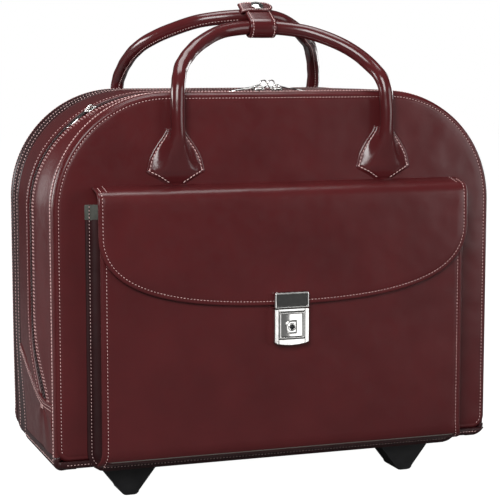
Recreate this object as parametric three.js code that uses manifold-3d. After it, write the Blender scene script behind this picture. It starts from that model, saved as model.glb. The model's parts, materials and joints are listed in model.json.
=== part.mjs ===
// Rolling laptop case: a stiff leather case on two rear wheels and two front feet, with a flap pocket
// and lock, two carrying handles and a telescopic trolley on its back. Millimetres, +Z up, front is -Y.
// Inside the group `body`, y is the depth behind the front panel's face and z the height above the
// underside of the case; the exported group moves that to the middle of the object, on the floor.
import * as THREE from "three";
import { mergeVertices } from "three/addons/utils/BufferGeometryUtils.js";
import Module from "manifold-3d";

const wasm = await Module();
wasm.setup();

// ---------- driving dimensions ----------
const GAP = 0.3; // clearance between neighbouring pieces

const CASE_WIDTH = 420;
const CASE_HEIGHT = 330;
const CASE_DEPTH = 187;
const FLOOR_GAP = 35; // underside of the case above the floor
const TOP_RADIUS = 103;
const BOTTOM_RADIUS = 10;
const PANEL = 3; // front and rear panel thickness
const WALL = 2.4; // gusset leather
const SIDE_PANEL_TOP = 60;
const LAP = 2.5; // how far the lower side panels run under the front and rear seams

const ZIP_TOP_Y = 36; // depth of the zip over the top of the case
const ZIP_SIDE_Y = 64; // and half way down its sides
const ZIP_END_Y = 41; // and where it ends
const ZIP_EASE_Z = 140; // below this height the zip curves forward to its end
const CHAIN_WIDTH = 3; // one row of teeth and its tape
const CHAIN_THICKNESS = 1.6;

const BOARD = 1.6; // stiffening board thickness
const DIVIDER_Y = 84;
const SLEEVE = { width: 376, front: 116, back: 172, bottom: 26, top: 284, wall: 4 };

const POCKET_HALF = 174;
const POCKET_DEPTH = 21.5;
const POCKET_TOP = 243;
const POCKET_LEATHER = 2.5;
const POCKET_CORNER = 8;
const FLAP_HALF = 176.5;
const FLAP_SIDE_Z = 209; // where the flap's straight sides end
const FLAP_LOW_Z = 141; // lowest point of the flap's curved edge
const RIDGE_Z = 245;
const FLAP_BACK_Z = 248;
const FLAP_HINGE_GAP = 2.4; // leaves room for the flap's top edge to turn under the top strip

const LOCK_HALF = 16.5;
const LOCK_BOTTOM = 105;
const LOCK_SPLIT = 138;
const LOCK_TOP = 153;
const LOCK_FACE = 30; // how far the lock stands in front of the panel
const LOCK_FRAME = { low: 5, high: 3 }; // what is left of the frame below and above the button
const BUTTON_HALF = 10;
const BUTTON_THICKNESS = 3;
const BUTTON_PROUD_OF_LOCK = 0.5;
const BUTTON_TRAVEL = 1.5;
const PLUG_RADIUS = 4;
const PLUG_Z = 121;
const PLUG_CLEARANCE = 0.8; // between the plug's back and the button's back
const KEYWAY = { half: 0.6, halfHeight: 2.5, depth: 1.2 };

const HANDLE_HALF = 100; // half distance between a handle's two ends
const TUBE_RADIUS = 6.3;
const HINGE_Z = 296;
const HINGE_OFF = 9; // handle pivots stand this far off the panels
const TAB_HALF = 28;
const TAB = { thickness: 4, neck: 9, shoulder: 263.5, tip: 246 };
const WRAP_HALF = 13;
const WRAP_THICKNESS = 1.8;
const WRAP_SPLIT = 61.3;
const SNAP_RADIUS = 6;

const FOOT_X = 137;
const FOOT = { front: 24, back: 54, topHalf: 28.5, baseHalf: 7.5, corner: 4 };

const WHEEL_X = 160;
const WHEEL_Y = 179;
const WHEEL_Z = -10;
const WHEEL_RADIUS = 25;
const WHEEL_HALF = 10;
const HUB_RADIUS = 17;
const AXLE_RADIUS = 2.5;
const AXLE_CLEARANCE = 0.25;
const HOUSING_HALF = 20;
const HOUSING_TOP = 22;
const HOUSING_FRONT = 148;
const HOUSING_WALL = 3;
const WELL_HALF = 13;

const TROLLEY_X = 55;
const TROLLEY_BOTTOM = 8;
const TROLLEY_TOP = 292;
const TROLLEY_Y = 196;
const COVER_HALF = 68;
const COVER_BACK = 204;
const COVER_BOTTOM = 4;
const COVER_WALL = { side: 2, back: 1.6 };
const BEZEL_TOP = 299;
const TUBE_WALL = 1;
const TUBE_STEP = 1.4; // each inner tube is this much smaller on every side
const OUTER_TUBE = [16, 12];
const GRIP = { bottom: 303, top: 326, half: 64, front: 188.6, back: 203.4 };
const PRESS = { half: 13, halfDepth: 4, recess: 5, height: 2 }; // the button in the grip
const BUTTON_PROUD = 1.5;

const SLIDER = { half: 4.5, length: 11, bottom: 0.7, top: 4.2, ear: 7.4 };
const SLIDER_X = 9.5; // centre of each of the two closed top sliders
const PULL = { slot: 1.3, tine: 2.7, root: 5, half: 4.4, length: 26, thickness: 1.4, droop: 9 };
const CORNER_SLIDER_DEG = 33; // left of vertical
const CORNER_SLIDER_Y = 44.5;

const FRONT_MOST = -LOCK_FACE;
const REAR_MOST = 204.6; // back of the rear handle's legs
const ARC = 10; // segments in a top corner
const ROUND = 24; // segments in a wheel

// ---------- materials ----------
const paint = (color, roughness, metalness = 0) =>
  new THREE.MeshStandardMaterial({ color, roughness, metalness });
const LEATHER = paint(0x5e2429, 0.38);
const LEATHER_DARK = paint(0x421a1d, 0.45);
const LINING = paint(0x4a4b47, 0.9);
const BOARDING = paint(0x2a2624, 0.8);
const NICKEL = paint(0xc9ccc6, 0.22, 1);
const ALUMINIUM = paint(0xb4b7bb, 0.3, 1);
const PLASTIC = paint(0x161616, 0.5);
const RUBBER = paint(0x1b1b1c, 0.75);
const CHAIN = paint(0x3b1618, 0.55);

// ---------- geometry helpers ----------
function solidOf(geometry) {
  const bare = geometry.clone();
  bare.deleteAttribute("normal");
  bare.deleteAttribute("uv");
  const merged = mergeVertices(bare, 1e-4);
  return new wasm.Manifold(
    new wasm.Mesh({
      numProp: 3,
      vertProperties: merged.attributes.position.array,
      triVerts: new Uint32Array(merged.index.array),
    }),
  );
}

function geometryOf(solid) {
  const mesh = solid.getMesh();
  const geometry = new THREE.BufferGeometry();
  geometry.setAttribute("position", new THREE.BufferAttribute(mesh.vertProperties, 3));
  geometry.setIndex(new THREE.BufferAttribute(mesh.triVerts, 1));
  geometry.computeVertexNormals();
  return geometry;
}

const cut = (geometry, ...tools) =>
  geometryOf(tools.reduce((left, tool) => left.subtract(solidOf(tool)), solidOf(geometry)));
const join = (geometry, ...more) =>
  geometryOf(more.reduce((sum, other) => sum.add(solidOf(other)), solidOf(geometry)));

// A box from its lowest to its highest corner.
function box(low, high) {
  const size = high.map((value, i) => value - low[i]);
  const middle = high.map((value, i) => (value + low[i]) / 2);
  return new THREE.BoxGeometry(...size).translate(...middle);
}

// A shape drawn in x and z, as a plate from depth y0 to y1.
function plate(shape, y0, y1, curveSegments = ARC) {
  const geometry = new THREE.ExtrudeGeometry(shape, { depth: y1 - y0, bevelEnabled: false, curveSegments });
  return geometry.rotateX(Math.PI / 2).translate(0, y1, 0);
}

// A shape drawn in y and z, as a bar from x0 to x1.
function bar(shape, x0, x1, curveSegments = 8) {
  const geometry = new THREE.ExtrudeGeometry(shape, { depth: x1 - x0, bevelEnabled: false, curveSegments });
  return geometry.rotateX(Math.PI / 2).rotateZ(Math.PI / 2).translate(x0, 0, 0);
}

// A cylinder along x (or along y), with a flat facet at its lowest point.
function rod(radius, length, axis = "x", segments = ROUND) {
  const geometry = new THREE.CylinderGeometry(radius, radius, length, segments);
  if (axis === "y") return geometry;
  return geometry.rotateZ(Math.PI / 2).rotateX(Math.PI / segments);
}

// Rectangle with rounded top and bottom corners, in x and z.
function roundedPlate(half, bottom, top, topRadius, bottomRadius) {
  const shape = new THREE.Shape();
  shape.moveTo(-half + bottomRadius, bottom);
  shape.lineTo(half - bottomRadius, bottom);
  shape.absarc(half - bottomRadius, bottom + bottomRadius, bottomRadius, -Math.PI / 2, 0);
  shape.lineTo(half, top - topRadius);
  shape.absarc(half - topRadius, top - topRadius, topRadius, 0, Math.PI / 2);
  shape.lineTo(-half + topRadius, top);
  shape.absarc(-half + topRadius, top - topRadius, topRadius, Math.PI / 2, Math.PI);
  shape.lineTo(-half, bottom + bottomRadius);
  shape.absarc(-half + bottomRadius, bottom + bottomRadius, bottomRadius, Math.PI, Math.PI * 1.5);
  return shape;
}

// The case's outline, moved inwards by `inset`.
const caseShape = (inset, bottom = inset, top = CASE_HEIGHT - inset) =>
  roundedPlate(CASE_WIDTH / 2 - inset, bottom, top, TOP_RADIUS - inset, Math.max(BOTTOM_RADIUS - inset, 2));

// Samples of the outline over the top of the case, from the left side at height `from` to the right
// side: each holds its point, its outward normal and the depth of the zip there.
function overTheTop(from) {
  const centre = CASE_WIDTH / 2 - TOP_RADIUS;
  const shoulder = CASE_HEIGHT - TOP_RADIUS;
  const left = [];
  const steps = 6;
  for (let i = 0; i < steps; i++) {
    const z = from + ((shoulder - from) * i) / steps;
    const low = Math.min(1, (z - SIDE_PANEL_TOP) / (ZIP_EASE_Z - SIDE_PANEL_TOP));
    const ease = Math.sin((low * Math.PI) / 2);
    left.push({ x: -CASE_WIDTH / 2, z, nx: -1, nz: 0, zip: ZIP_END_Y + (ZIP_SIDE_Y - ZIP_END_Y) * ease });
  }
  for (let i = 0; i <= ARC; i++) {
    const angle = (Math.PI / 2) * (1 - i / ARC); // 0 points straight up
    const nx = -Math.sin(angle);
    const nz = Math.cos(angle);
    const ease = THREE.MathUtils.smoothstep(angle, 0, Math.PI / 2);
    const zip = ZIP_TOP_Y + (ZIP_SIDE_Y - ZIP_TOP_Y) * ease;
    left.push({ x: -centre + TOP_RADIUS * nx, z: shoulder + TOP_RADIUS * nz, nx, nz, zip });
  }
  const right = left.map((p) => ({ ...p, x: -p.x, nx: -p.nx })).reverse();
  return [...left, ...right];
}

// Samples round one lower corner, from the underside up to `top`; side is -1 left or +1 right.
function roundTheCorner(side, top) {
  const centre = CASE_WIDTH / 2 - BOTTOM_RADIUS;
  const path = [];
  for (let i = 0; i <= 4; i++) {
    const angle = (Math.PI / 2) * (i / 4);
    const nx = side * Math.sin(angle);
    const nz = -Math.cos(angle);
    path.push({ x: side * centre + BOTTOM_RADIUS * nx, z: BOTTOM_RADIUS + BOTTOM_RADIUS * nz, nx, nz });
  }
  path.push({ x: (side * CASE_WIDTH) / 2, z: top, nx: side, nz: 0 });
  return side < 0 ? path : path.reverse();
}

// A band of leather along samples, from depth y0(sample) to y1(sample), its outer face `sunk` below
// the outline.
function band(samples, y0, y1, thickness, sunk = 0) {
  const corners = [];
  for (const p of samples) {
    const at = (depth, y) => corners.push(p.x - p.nx * depth, y, p.z - p.nz * depth);
    at(sunk, y0(p));
    at(sunk, y1(p));
    at(sunk + thickness, y1(p));
    at(sunk + thickness, y0(p));
  }
  const index = [0, 1, 2, 0, 2, 3];
  for (let i = 0; i + 1 < samples.length; i++) {
    for (let side = 0; side < 4; side++) {
      const a = i * 4 + side;
      const b = i * 4 + ((side + 1) % 4);
      index.push(a, b + 4, b, a, a + 4, b + 4);
    }
  }
  const end = (samples.length - 1) * 4;
  index.push(end, end + 2, end + 1, end, end + 3, end + 2);
  const geometry = new THREE.BufferGeometry();
  geometry.setAttribute("position", new THREE.Float32BufferAttribute(corners, 3));
  geometry.setIndex(index);
  geometry.computeVertexNormals();
  return geometry;
}

// A round leather tube through points given from one end to the middle, and mirrored in x.
function handleTube(half) {
  const points = half.map((p) => new THREE.Vector3(...p));
  const mirrored = half.slice(0, -1).reverse().map((p) => new THREE.Vector3(-p[0], p[1], p[2]));
  const curve = new THREE.CatmullRomCurve3([...points, ...mirrored], false, "centripetal");
  const round = new THREE.Shape().absarc(0, 0, TUBE_RADIUS, 0, Math.PI * 2);
  return new THREE.ExtrudeGeometry(round, { steps: 36, extrudePath: curve, curveSegments: 5 });
}

// ---------- the tree of groups ----------
const root = new THREE.Group();
const body = new THREE.Group();
body.position.set(0, -(FRONT_MOST + REAR_MOST) / 2, FLOOR_GAP);
root.add(body);

function add(name, geometry, material, parent = body) {
  const mesh = new THREE.Mesh(geometry, material);
  mesh.name = name;
  parent.add(mesh);
  return mesh;
}

const SIDES = [
  ["left", -1],
  ["right", 1],
];

// ---------- case shell ----------
const housingHole = (side) =>
  box(
    [side * WHEEL_X - HOUSING_HALF - GAP, HOUSING_FRONT - GAP, -1],
    [side * WHEEL_X + HOUSING_HALF + GAP, CASE_DEPTH + 1, HOUSING_TOP + GAP],
  );
const housingHoles = [housingHole(-1), housingHole(1)];

function caseShell() {
  const chainEdge = CHAIN_WIDTH + 2 * GAP;
  const upper = overTheTop(SIDE_PANEL_TOP + GAP);
  const back = CASE_DEPTH - PANEL;
  add("front_panel", plate(caseShape(0), 0, PANEL), LEATHER);
  add("rear_panel", cut(plate(caseShape(0), back, CASE_DEPTH), ...housingHoles), LEATHER);
  add("front_gusset", band(upper, () => PANEL + GAP, (p) => p.zip - chainEdge, WALL), LEATHER);
  add("rear_gusset", band(upper, (p) => p.zip + chainEdge, () => back - GAP, WALL), LEATHER);
  const frontEdge = (p) => p.zip - GAP - CHAIN_WIDTH;
  const rearEdge = (p) => p.zip + GAP + CHAIN_WIDTH;
  add("front_zip_chain", band(upper, frontEdge, (p) => p.zip - GAP, CHAIN_THICKNESS, 0.5), CHAIN);
  add("rear_zip_chain", band(upper, (p) => p.zip + GAP, rearEdge, CHAIN_THICKNESS, 0.5), CHAIN);
  for (const [name, side] of SIDES) {
    const path = roundTheCorner(side, SIDE_PANEL_TOP);
    add("side_panel_" + name, band(path, () => PANEL + LAP, () => back - GAP, WALL), LEATHER);
  }
  const baseHalf = CASE_WIDTH / 2 - BOTTOM_RADIUS - GAP;
  const base = box([-baseHalf, PANEL + LAP, 0], [baseHalf, back - GAP, WALL]);
  add("base_panel", cut(base, ...housingHoles), LEATHER_DARK);
}

// ---------- stiffening boards, lining and compartments ----------
function interior() {
  const inset = WALL + 1.5;
  const back = CASE_DEPTH - PANEL - GAP;
  const low = WALL + GAP + BOARD + GAP;
  add("front_board", plate(caseShape(inset, low), PANEL + GAP + 0.2, PANEL + GAP + 0.2 + BOARD), BOARDING);
  const rearBoard = plate(caseShape(inset, low), back - BOARD, back);
  add("rear_board", cut(rearBoard, ...housingHoles), BOARDING);
  const baseHalf = CASE_WIDTH / 2 - BOTTOM_RADIUS - 5;
  const baseBoard = box([-baseHalf, PANEL + 6, WALL + GAP], [baseHalf, back - GAP, WALL + GAP + BOARD]);
  add("base_board", cut(baseBoard, ...housingHoles), BOARDING);
  add("compartment_divider", plate(caseShape(12, low + GAP, 296), DIVIDER_Y, DIVIDER_Y + 2), LINING);
  const s = SLEEVE;
  const outer = box([-s.width / 2, s.front, s.bottom], [s.width / 2, s.back, s.top]);
  const inner = box(
    [-s.width / 2 + s.wall, s.front + s.wall, s.bottom + s.wall],
    [s.width / 2 - s.wall, s.back - s.wall, s.top + 1],
  );
  add("laptop_sleeve", cut(outer, inner), LINING);
}

// ---------- front pocket, its flap and the lock ----------
function frontPocket() {
  const front = -POCKET_DEPTH;
  const inside = front + POCKET_LEATHER + GAP;
  const face = roundedPlate(POCKET_HALF, 2, POCKET_TOP, 2, POCKET_CORNER);
  add("pocket_front", plate(face, front, front + POCKET_LEATHER, 3), LEATHER);
  const rim = roundedPlate(POCKET_HALF, 2, POCKET_TOP - 8, 1, POCKET_CORNER);
  const hollow = roundedPlate(POCKET_HALF - WALL, 2 + WALL, POCKET_TOP + 9, 1, POCKET_CORNER - WALL);
  const gusset = cut(plate(rim, inside, -GAP, 3), plate(hollow, inside - 1, 1, 3));
  add("pocket_gusset", gusset, LEATHER_DARK);
  const organiser = roundedPlate(POCKET_HALF - 14, 8, 150, 3, 3);
  add("pocket_organiser", plate(organiser, -5.5, -4, 3), LINING);
}

function flapShape() {
  const shape = new THREE.Shape();
  const swing = FLAP_HALF * 0.62;
  shape.moveTo(-FLAP_HALF, RIDGE_Z);
  shape.lineTo(-FLAP_HALF, FLAP_SIDE_Z);
  shape.bezierCurveTo(-FLAP_HALF, FLAP_LOW_Z + 16, -swing, FLAP_LOW_Z, 0, FLAP_LOW_Z);
  shape.bezierCurveTo(swing, FLAP_LOW_Z, FLAP_HALF, FLAP_LOW_Z + 16, FLAP_HALF, FLAP_SIDE_Z);
  shape.lineTo(FLAP_HALF, RIDGE_Z);
  return shape;
}

function flap() {
  const back = -POCKET_DEPTH - GAP;
  const face = back - POCKET_LEATHER;
  add("pocket_flap", plate(flapShape(), face, back, 12), LEATHER);
  const strip = new THREE.Shape();
  strip.moveTo(-GAP, FLAP_BACK_Z);
  strip.lineTo(-GAP, FLAP_BACK_Z - POCKET_LEATHER);
  strip.lineTo(face + FLAP_HINGE_GAP, RIDGE_Z + GAP);
  strip.lineTo(face + FLAP_HINGE_GAP, RIDGE_Z + GAP + 1.5);
  add("flap_top_strip", bar(strip, -FLAP_HALF, FLAP_HALF), LEATHER);
  const plateShape = roundedPlate(LOCK_HALF, LOCK_SPLIT + GAP, LOCK_TOP, 3, 0.5);
  add("lock_strike_plate", plate(plateShape, -LOCK_FACE + 1, face - GAP, 3), NICKEL);
}

function lock() {
  const back = -POCKET_DEPTH - GAP;
  const buttonFront = -LOCK_FACE + BUTTON_PROUD_OF_LOCK;
  const buttonBack = -LOCK_FACE + 1 + BUTTON_THICKNESS;
  const windowLow = LOCK_BOTTOM + LOCK_FRAME.low;
  const windowHigh = LOCK_SPLIT - LOCK_FRAME.high;
  const frame = plate(roundedPlate(LOCK_HALF, LOCK_BOTTOM, LOCK_SPLIT, 0.5, 3), -LOCK_FACE + 1, back, 3);
  const window = box(
    [-BUTTON_HALF - GAP, -LOCK_FACE, windowLow],
    [BUTTON_HALF + GAP, buttonBack + BUTTON_TRAVEL + GAP, windowHigh],
  );
  add("lock_body", cut(frame, window), NICKEL);
  const face = roundedPlate(BUTTON_HALF, windowLow + GAP, windowHigh - GAP, 0.5, 4);
  const press = plate(face, buttonFront, buttonBack, 3);
  const bore = rod(PLUG_RADIUS + GAP, 20, "y", 16);
  bore.translate(0, buttonBack - 10 - PLUG_CLEARANCE, PLUG_Z);
  add("lock_button", cut(press, bore), NICKEL);
  const plugBack = buttonBack - PLUG_CLEARANCE - GAP;
  const plug = rod(PLUG_RADIUS, plugBack + LOCK_FACE, "y", 16);
  plug.translate(0, (plugBack - LOCK_FACE) / 2, PLUG_Z);
  const keyway = box(
    [-KEYWAY.half, -LOCK_FACE - 1, PLUG_Z - KEYWAY.halfHeight],
    [KEYWAY.half, -LOCK_FACE + KEYWAY.depth, PLUG_Z + KEYWAY.halfHeight],
  );
  add("key_plug", cut(plug, keyway), NICKEL);
}

// ---------- handles ----------
// Kite-shaped tab that holds a handle's end, at height z and x measured from the tab's centre.
function tabShape(side) {
  const shape = new THREE.Shape();
  const centre = side * HANDLE_HALF;
  const top = HINGE_Z - TUBE_RADIUS - GAP;
  shape.moveTo(centre - TAB.neck, top);
  shape.quadraticCurveTo(centre - TAB.neck, top - 10, centre - TAB_HALF, TAB.shoulder);
  shape.lineTo(centre - 6, TAB.tip + 3);
  shape.lineTo(centre + 6, TAB.tip + 3);
  shape.lineTo(centre + TAB_HALF, TAB.shoulder);
  shape.quadraticCurveTo(centre + TAB.neck, top - 10, centre + TAB.neck, top);
  return shape;
}

const FRONT_MIDDLE = [0, 53, 389];
const REAR_MIDDLE = [0, 70, 400];

function handles() {
  const frontY = -HINGE_OFF;
  const rearY = CASE_DEPTH + HINGE_OFF;
  const front = [
    [HANDLE_HALF, frontY, HINGE_Z],
    [HANDLE_HALF, frontY, HINGE_Z + 24],
    [HANDLE_HALF - 2, frontY + 4, HINGE_Z + 44],
    [HANDLE_HALF - 11, 10, HINGE_Z + 61],
    [70, 25, 373],
    [42, 44, 385],
    [WRAP_HALF, ...FRONT_MIDDLE.slice(1)],
    FRONT_MIDDLE,
  ];
  const rear = [
    [HANDLE_HALF, rearY, HINGE_Z],
    [HANDLE_HALF, rearY + 3, HINGE_Z + 22],
    [HANDLE_HALF - 0.5, rearY - 4, HINGE_Z + 46],
    [HANDLE_HALF - 3, 148, 366],
    [HANDLE_HALF - 16, 115, 381],
    [52, 84, 395],
    [WRAP_HALF, ...REAR_MIDDLE.slice(1)],
    REAR_MIDDLE,
  ];
  add("front_handle_tube", handleTube(front), LEATHER);
  add("rear_handle_tube", handleTube(rear), LEATHER);
  for (const [name, side] of SIDES) {
    const shape = tabShape(side);
    add("front_tab_" + name, plate(shape, -TAB.thickness, -GAP, 5), LEATHER);
    add("rear_tab_" + name, plate(shape, CASE_DEPTH + GAP, CASE_DEPTH + TAB.thickness, 5), LEATHER);
  }
}

// The strap that holds the two handles together is a belt round both tubes, split between them: one
// half stays on each handle. `across` is the direction from the front tube to the rear one.
function handleWrap() {
  const inner = TUBE_RADIUS + 3 * GAP;
  const outer = inner + WRAP_THICKNESS;
  const tilt = Math.atan2(REAR_MIDDLE[2] - FRONT_MIDDLE[2], REAR_MIDDLE[1] - FRONT_MIDDLE[1]);
  const beltHalf = (centre, limit, start) => {
    const [, y, z] = centre;
    const reach = (radius, angle) => {
      const py = y + radius * Math.cos(angle);
      const pz = z + radius * Math.sin(angle);
      const along = (limit - py) / Math.cos(tilt);
      return [limit, pz + along * Math.sin(tilt)];
    };
    const shape = new THREE.Shape();
    const end = start + Math.PI;
    shape.moveTo(...reach(outer, start));
    shape.absarc(y, z, outer, start, end);
    shape.lineTo(...reach(outer, end));
    shape.lineTo(...reach(inner, end));
    shape.absarc(y, z, inner, end, start, true);
    shape.lineTo(...reach(inner, start));
    return shape;
  };
  const frontHalf = beltHalf(FRONT_MIDDLE, WRAP_SPLIT - GAP, tilt + Math.PI / 2);
  const rearHalf = beltHalf(REAR_MIDDLE, WRAP_SPLIT + GAP, tilt - Math.PI / 2);
  add("handle_wrap", bar(frontHalf, -WRAP_HALF, WRAP_HALF), LEATHER);
  add("wrap_tongue", bar(rearHalf, -WRAP_HALF, WRAP_HALF), LEATHER);
  const snap = new THREE.CylinderGeometry(SNAP_RADIUS - 1.5, SNAP_RADIUS, 2.4, 16);
  const lift = outer + 1.2 + GAP;
  snap.rotateX(Math.PI / 2 + tilt);
  snap.translate(0, REAR_MIDDLE[1] - lift * Math.sin(tilt), REAR_MIDDLE[2] + lift * Math.cos(tilt));
  add("snap_cap", snap, NICKEL);
}

// ---------- feet and wheels ----------
function feet() {
  for (const [name, side] of SIDES) {
    const shape = new THREE.Shape();
    const x = side * FOOT_X;
    shape.moveTo(x - FOOT.topHalf, -GAP);
    shape.lineTo(x - FOOT.topHalf, -GAP - 5);
    shape.lineTo(x - FOOT.baseHalf - 1, -FLOOR_GAP + FOOT.corner);
    shape.quadraticCurveTo(x - FOOT.baseHalf, -FLOOR_GAP, x - FOOT.baseHalf + FOOT.corner, -FLOOR_GAP);
    shape.lineTo(x + FOOT.baseHalf - FOOT.corner, -FLOOR_GAP);
    shape.quadraticCurveTo(x + FOOT.baseHalf, -FLOOR_GAP, x + FOOT.baseHalf + 1, -FLOOR_GAP + FOOT.corner);
    shape.lineTo(x + FOOT.topHalf, -GAP - 5);
    shape.lineTo(x + FOOT.topHalf, -GAP);
    add("front_foot_" + name, plate(shape, FOOT.front, FOOT.back, 3), PLASTIC);
  }
}

function wheels() {
  const cheek = new THREE.Shape();
  cheek.moveTo(HOUSING_FRONT, HOUSING_TOP);
  cheek.lineTo(HOUSING_FRONT, -4);
  cheek.lineTo(WHEEL_Y - 9, WHEEL_Z - 10);
  cheek.lineTo(WHEEL_Y + 7, WHEEL_Z - 10);
  cheek.lineTo(CASE_DEPTH + 4, WHEEL_Z - 4);
  cheek.lineTo(CASE_DEPTH + 4, 4);
  cheek.lineTo(CASE_DEPTH, 10);
  cheek.lineTo(CASE_DEPTH, HOUSING_TOP);
  for (const [name, side] of SIDES) {
    const x = side * WHEEL_X;
    const well = box(
      [x - WELL_HALF, HOUSING_FRONT + HOUSING_WALL, WHEEL_Z - 20],
      [x + WELL_HALF, CASE_DEPTH + 9, HOUSING_TOP - HOUSING_WALL],
    );
    const axleHole = rod(AXLE_RADIUS + AXLE_CLEARANCE, 2 * HOUSING_HALF + 2).translate(x, WHEEL_Y, WHEEL_Z);
    const housing = cut(bar(cheek, x - HOUSING_HALF, x + HOUSING_HALF), well, axleHole);
    add("wheel_housing_" + name, housing, PLASTIC);
    add("axle_" + name, rod(AXLE_RADIUS, 2 * HOUSING_HALF - 1).translate(x, WHEEL_Y, WHEEL_Z), ALUMINIUM);
    const bore = rod(AXLE_RADIUS + AXLE_CLEARANCE, 4 * WHEEL_HALF);
    const hub = cut(rod(HUB_RADIUS, 2 * WHEEL_HALF + 1), bore).translate(x, WHEEL_Y, WHEEL_Z);
    add("wheel_hub_" + name, hub, PLASTIC);
    const tread = WHEEL_RADIUS / Math.cos(Math.PI / ROUND);
    const tyre = cut(rod(tread, 2 * WHEEL_HALF), rod(HUB_RADIUS + GAP, 4 * WHEEL_HALF));
    add("wheel_tyre_" + name, tyre.translate(x, WHEEL_Y, WHEEL_Z), RUBBER);
  }
}

// ---------- trolley ----------
// A rectangular tube standing at x, open at both ends, `step` sizes smaller than the outermost.
function trolleyTube(x, step, bottom, top) {
  const half = OUTER_TUBE.map((size) => size / 2 - step * TUBE_STEP);
  const hollow = half.map((size) => size - TUBE_WALL);
  const at = ([w, d], low, high) => box([x - w, TROLLEY_Y - d, low], [x + w, TROLLEY_Y + d, high]);
  return cut(at(half, bottom, top), at(hollow, bottom - 1, top + 1));
}

function trolley() {
  const front = CASE_DEPTH + GAP;
  const shell = box([-COVER_HALF, front, COVER_BOTTOM], [COVER_HALF, COVER_BACK, TROLLEY_TOP]);
  const inner = box(
    [-COVER_HALF + COVER_WALL.side, front - 1, COVER_BOTTOM + COVER_WALL.side],
    [COVER_HALF - COVER_WALL.side, COVER_BACK - COVER_WALL.back, TROLLEY_TOP + 1],
  );
  add("trolley_cover", cut(shell, inner), LEATHER);
  const slots = SIDES.map(([, side]) => {
    const half = OUTER_TUBE.map((size) => size / 2 - TUBE_STEP + 2 * GAP);
    const x = side * TROLLEY_X;
    return box(
      [x - half[0], TROLLEY_Y - half[1], TROLLEY_TOP],
      [x + half[0], TROLLEY_Y + half[1], BEZEL_TOP + 1],
    );
  });
  const bezel = box([-COVER_HALF, front, TROLLEY_TOP + GAP], [COVER_HALF, COVER_BACK, BEZEL_TOP]);
  add("trolley_bezel", cut(bezel, ...slots), PLASTIC);
  for (const [name, side] of SIDES) {
    const x = side * TROLLEY_X;
    add("trolley_outer_" + name, trolleyTube(x, 0, TROLLEY_BOTTOM, TROLLEY_TOP), ALUMINIUM);
    add("trolley_middle_" + name, trolleyTube(x, 1, TROLLEY_BOTTOM + 3, BEZEL_TOP + 1.5), ALUMINIUM);
    add("trolley_inner_" + name, trolleyTube(x, 2, TROLLEY_BOTTOM + 6, GRIP.bottom - GAP), ALUMINIUM);
  }
  const grip = plate(roundedPlate(GRIP.half, GRIP.bottom, GRIP.top, 9, 3), GRIP.front, GRIP.back, 4);
  const middle = (GRIP.front + GRIP.back) / 2;
  const recess = box(
    [-PRESS.half - GAP, middle - PRESS.halfDepth - GAP, GRIP.top - PRESS.recess],
    [PRESS.half + GAP, middle + PRESS.halfDepth + GAP, GRIP.top + 1],
  );
  add("trolley_grip", cut(grip, recess), PLASTIC);
  const press = box(
    [-PRESS.half, middle - PRESS.halfDepth, GRIP.top - PRESS.height + GAP],
    [PRESS.half, middle + PRESS.halfDepth, GRIP.top + BUTTON_PROUD],
  );
  add("grip_button", press, PLASTIC);
}

// ---------- zip sliders and pulls ----------
// Both are built at the origin on a surface at z = 0, with the pull lying towards +x.
function sliderGeometry() {
  const end = SLIDER.length / 2;
  const base = box([-end, -SLIDER.half, SLIDER.bottom], [end, SLIDER.half, SLIDER.top]);
  const ear = box([-1, -1, SLIDER.top - 1], [end - 0.5, 1, SLIDER.ear]);
  return join(base, ear);
}

function pullGeometry() {
  const shape = new THREE.Shape();
  shape.moveTo(-1, PULL.slot);
  shape.lineTo(-1, PULL.tine);
  shape.lineTo(PULL.root, PULL.tine);
  shape.quadraticCurveTo(PULL.root + 5, PULL.half + 1, PULL.length, 0.8);
  shape.lineTo(PULL.length, -0.8);
  shape.quadraticCurveTo(PULL.root + 5, -PULL.half - 1, PULL.root, -PULL.tine);
  shape.lineTo(-1, -PULL.tine);
  shape.lineTo(-1, -PULL.slot);
  shape.lineTo(PULL.root - 1, -PULL.slot);
  shape.lineTo(PULL.root - 1, PULL.slot);
  const settings = { depth: PULL.thickness, bevelEnabled: false, curveSegments: 5 };
  const leaf = new THREE.ExtrudeGeometry(shape, settings);
  return leaf.translate(0, 0, -PULL.thickness / 2).rotateY(THREE.MathUtils.degToRad(PULL.droop));
}

function zipSlider(name, parent) {
  add("slider_" + name, sliderGeometry(), NICKEL, parent);
  const pull = add("pull_" + name, pullGeometry(), NICKEL, parent);
  pull.position.set(SLIDER.length / 2 - 2, 0, SLIDER.ear - 1.2);
}

function zipSliders() {
  for (const [name, side] of SIDES) {
    const group = new THREE.Group();
    group.position.set(side * SLIDER_X, ZIP_TOP_Y, CASE_HEIGHT);
    group.rotation.z = side < 0 ? Math.PI : 0;
    body.add(group);
    zipSlider("top_" + name, group);
  }
  const corner = new THREE.Group();
  corner.position.set(-CASE_WIDTH / 2 + TOP_RADIUS, CORNER_SLIDER_Y, CASE_HEIGHT - TOP_RADIUS);
  corner.rotation.y = THREE.MathUtils.degToRad(-CORNER_SLIDER_DEG);
  body.add(corner);
  const seat = new THREE.Group();
  seat.position.z = TOP_RADIUS;
  seat.rotation.z = Math.PI;
  corner.add(seat);
  zipSlider("corner", seat);
}

caseShell();
interior();
frontPocket();
flap();
lock();
handles();
handleWrap();
feet();
wheels();
trolley();
zipSliders();

export default root;
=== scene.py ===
import json
import math

import bmesh
import bpy
import numpy as np
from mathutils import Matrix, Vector
from mathutils.geometry import delaunay_2d_cdt

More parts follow.
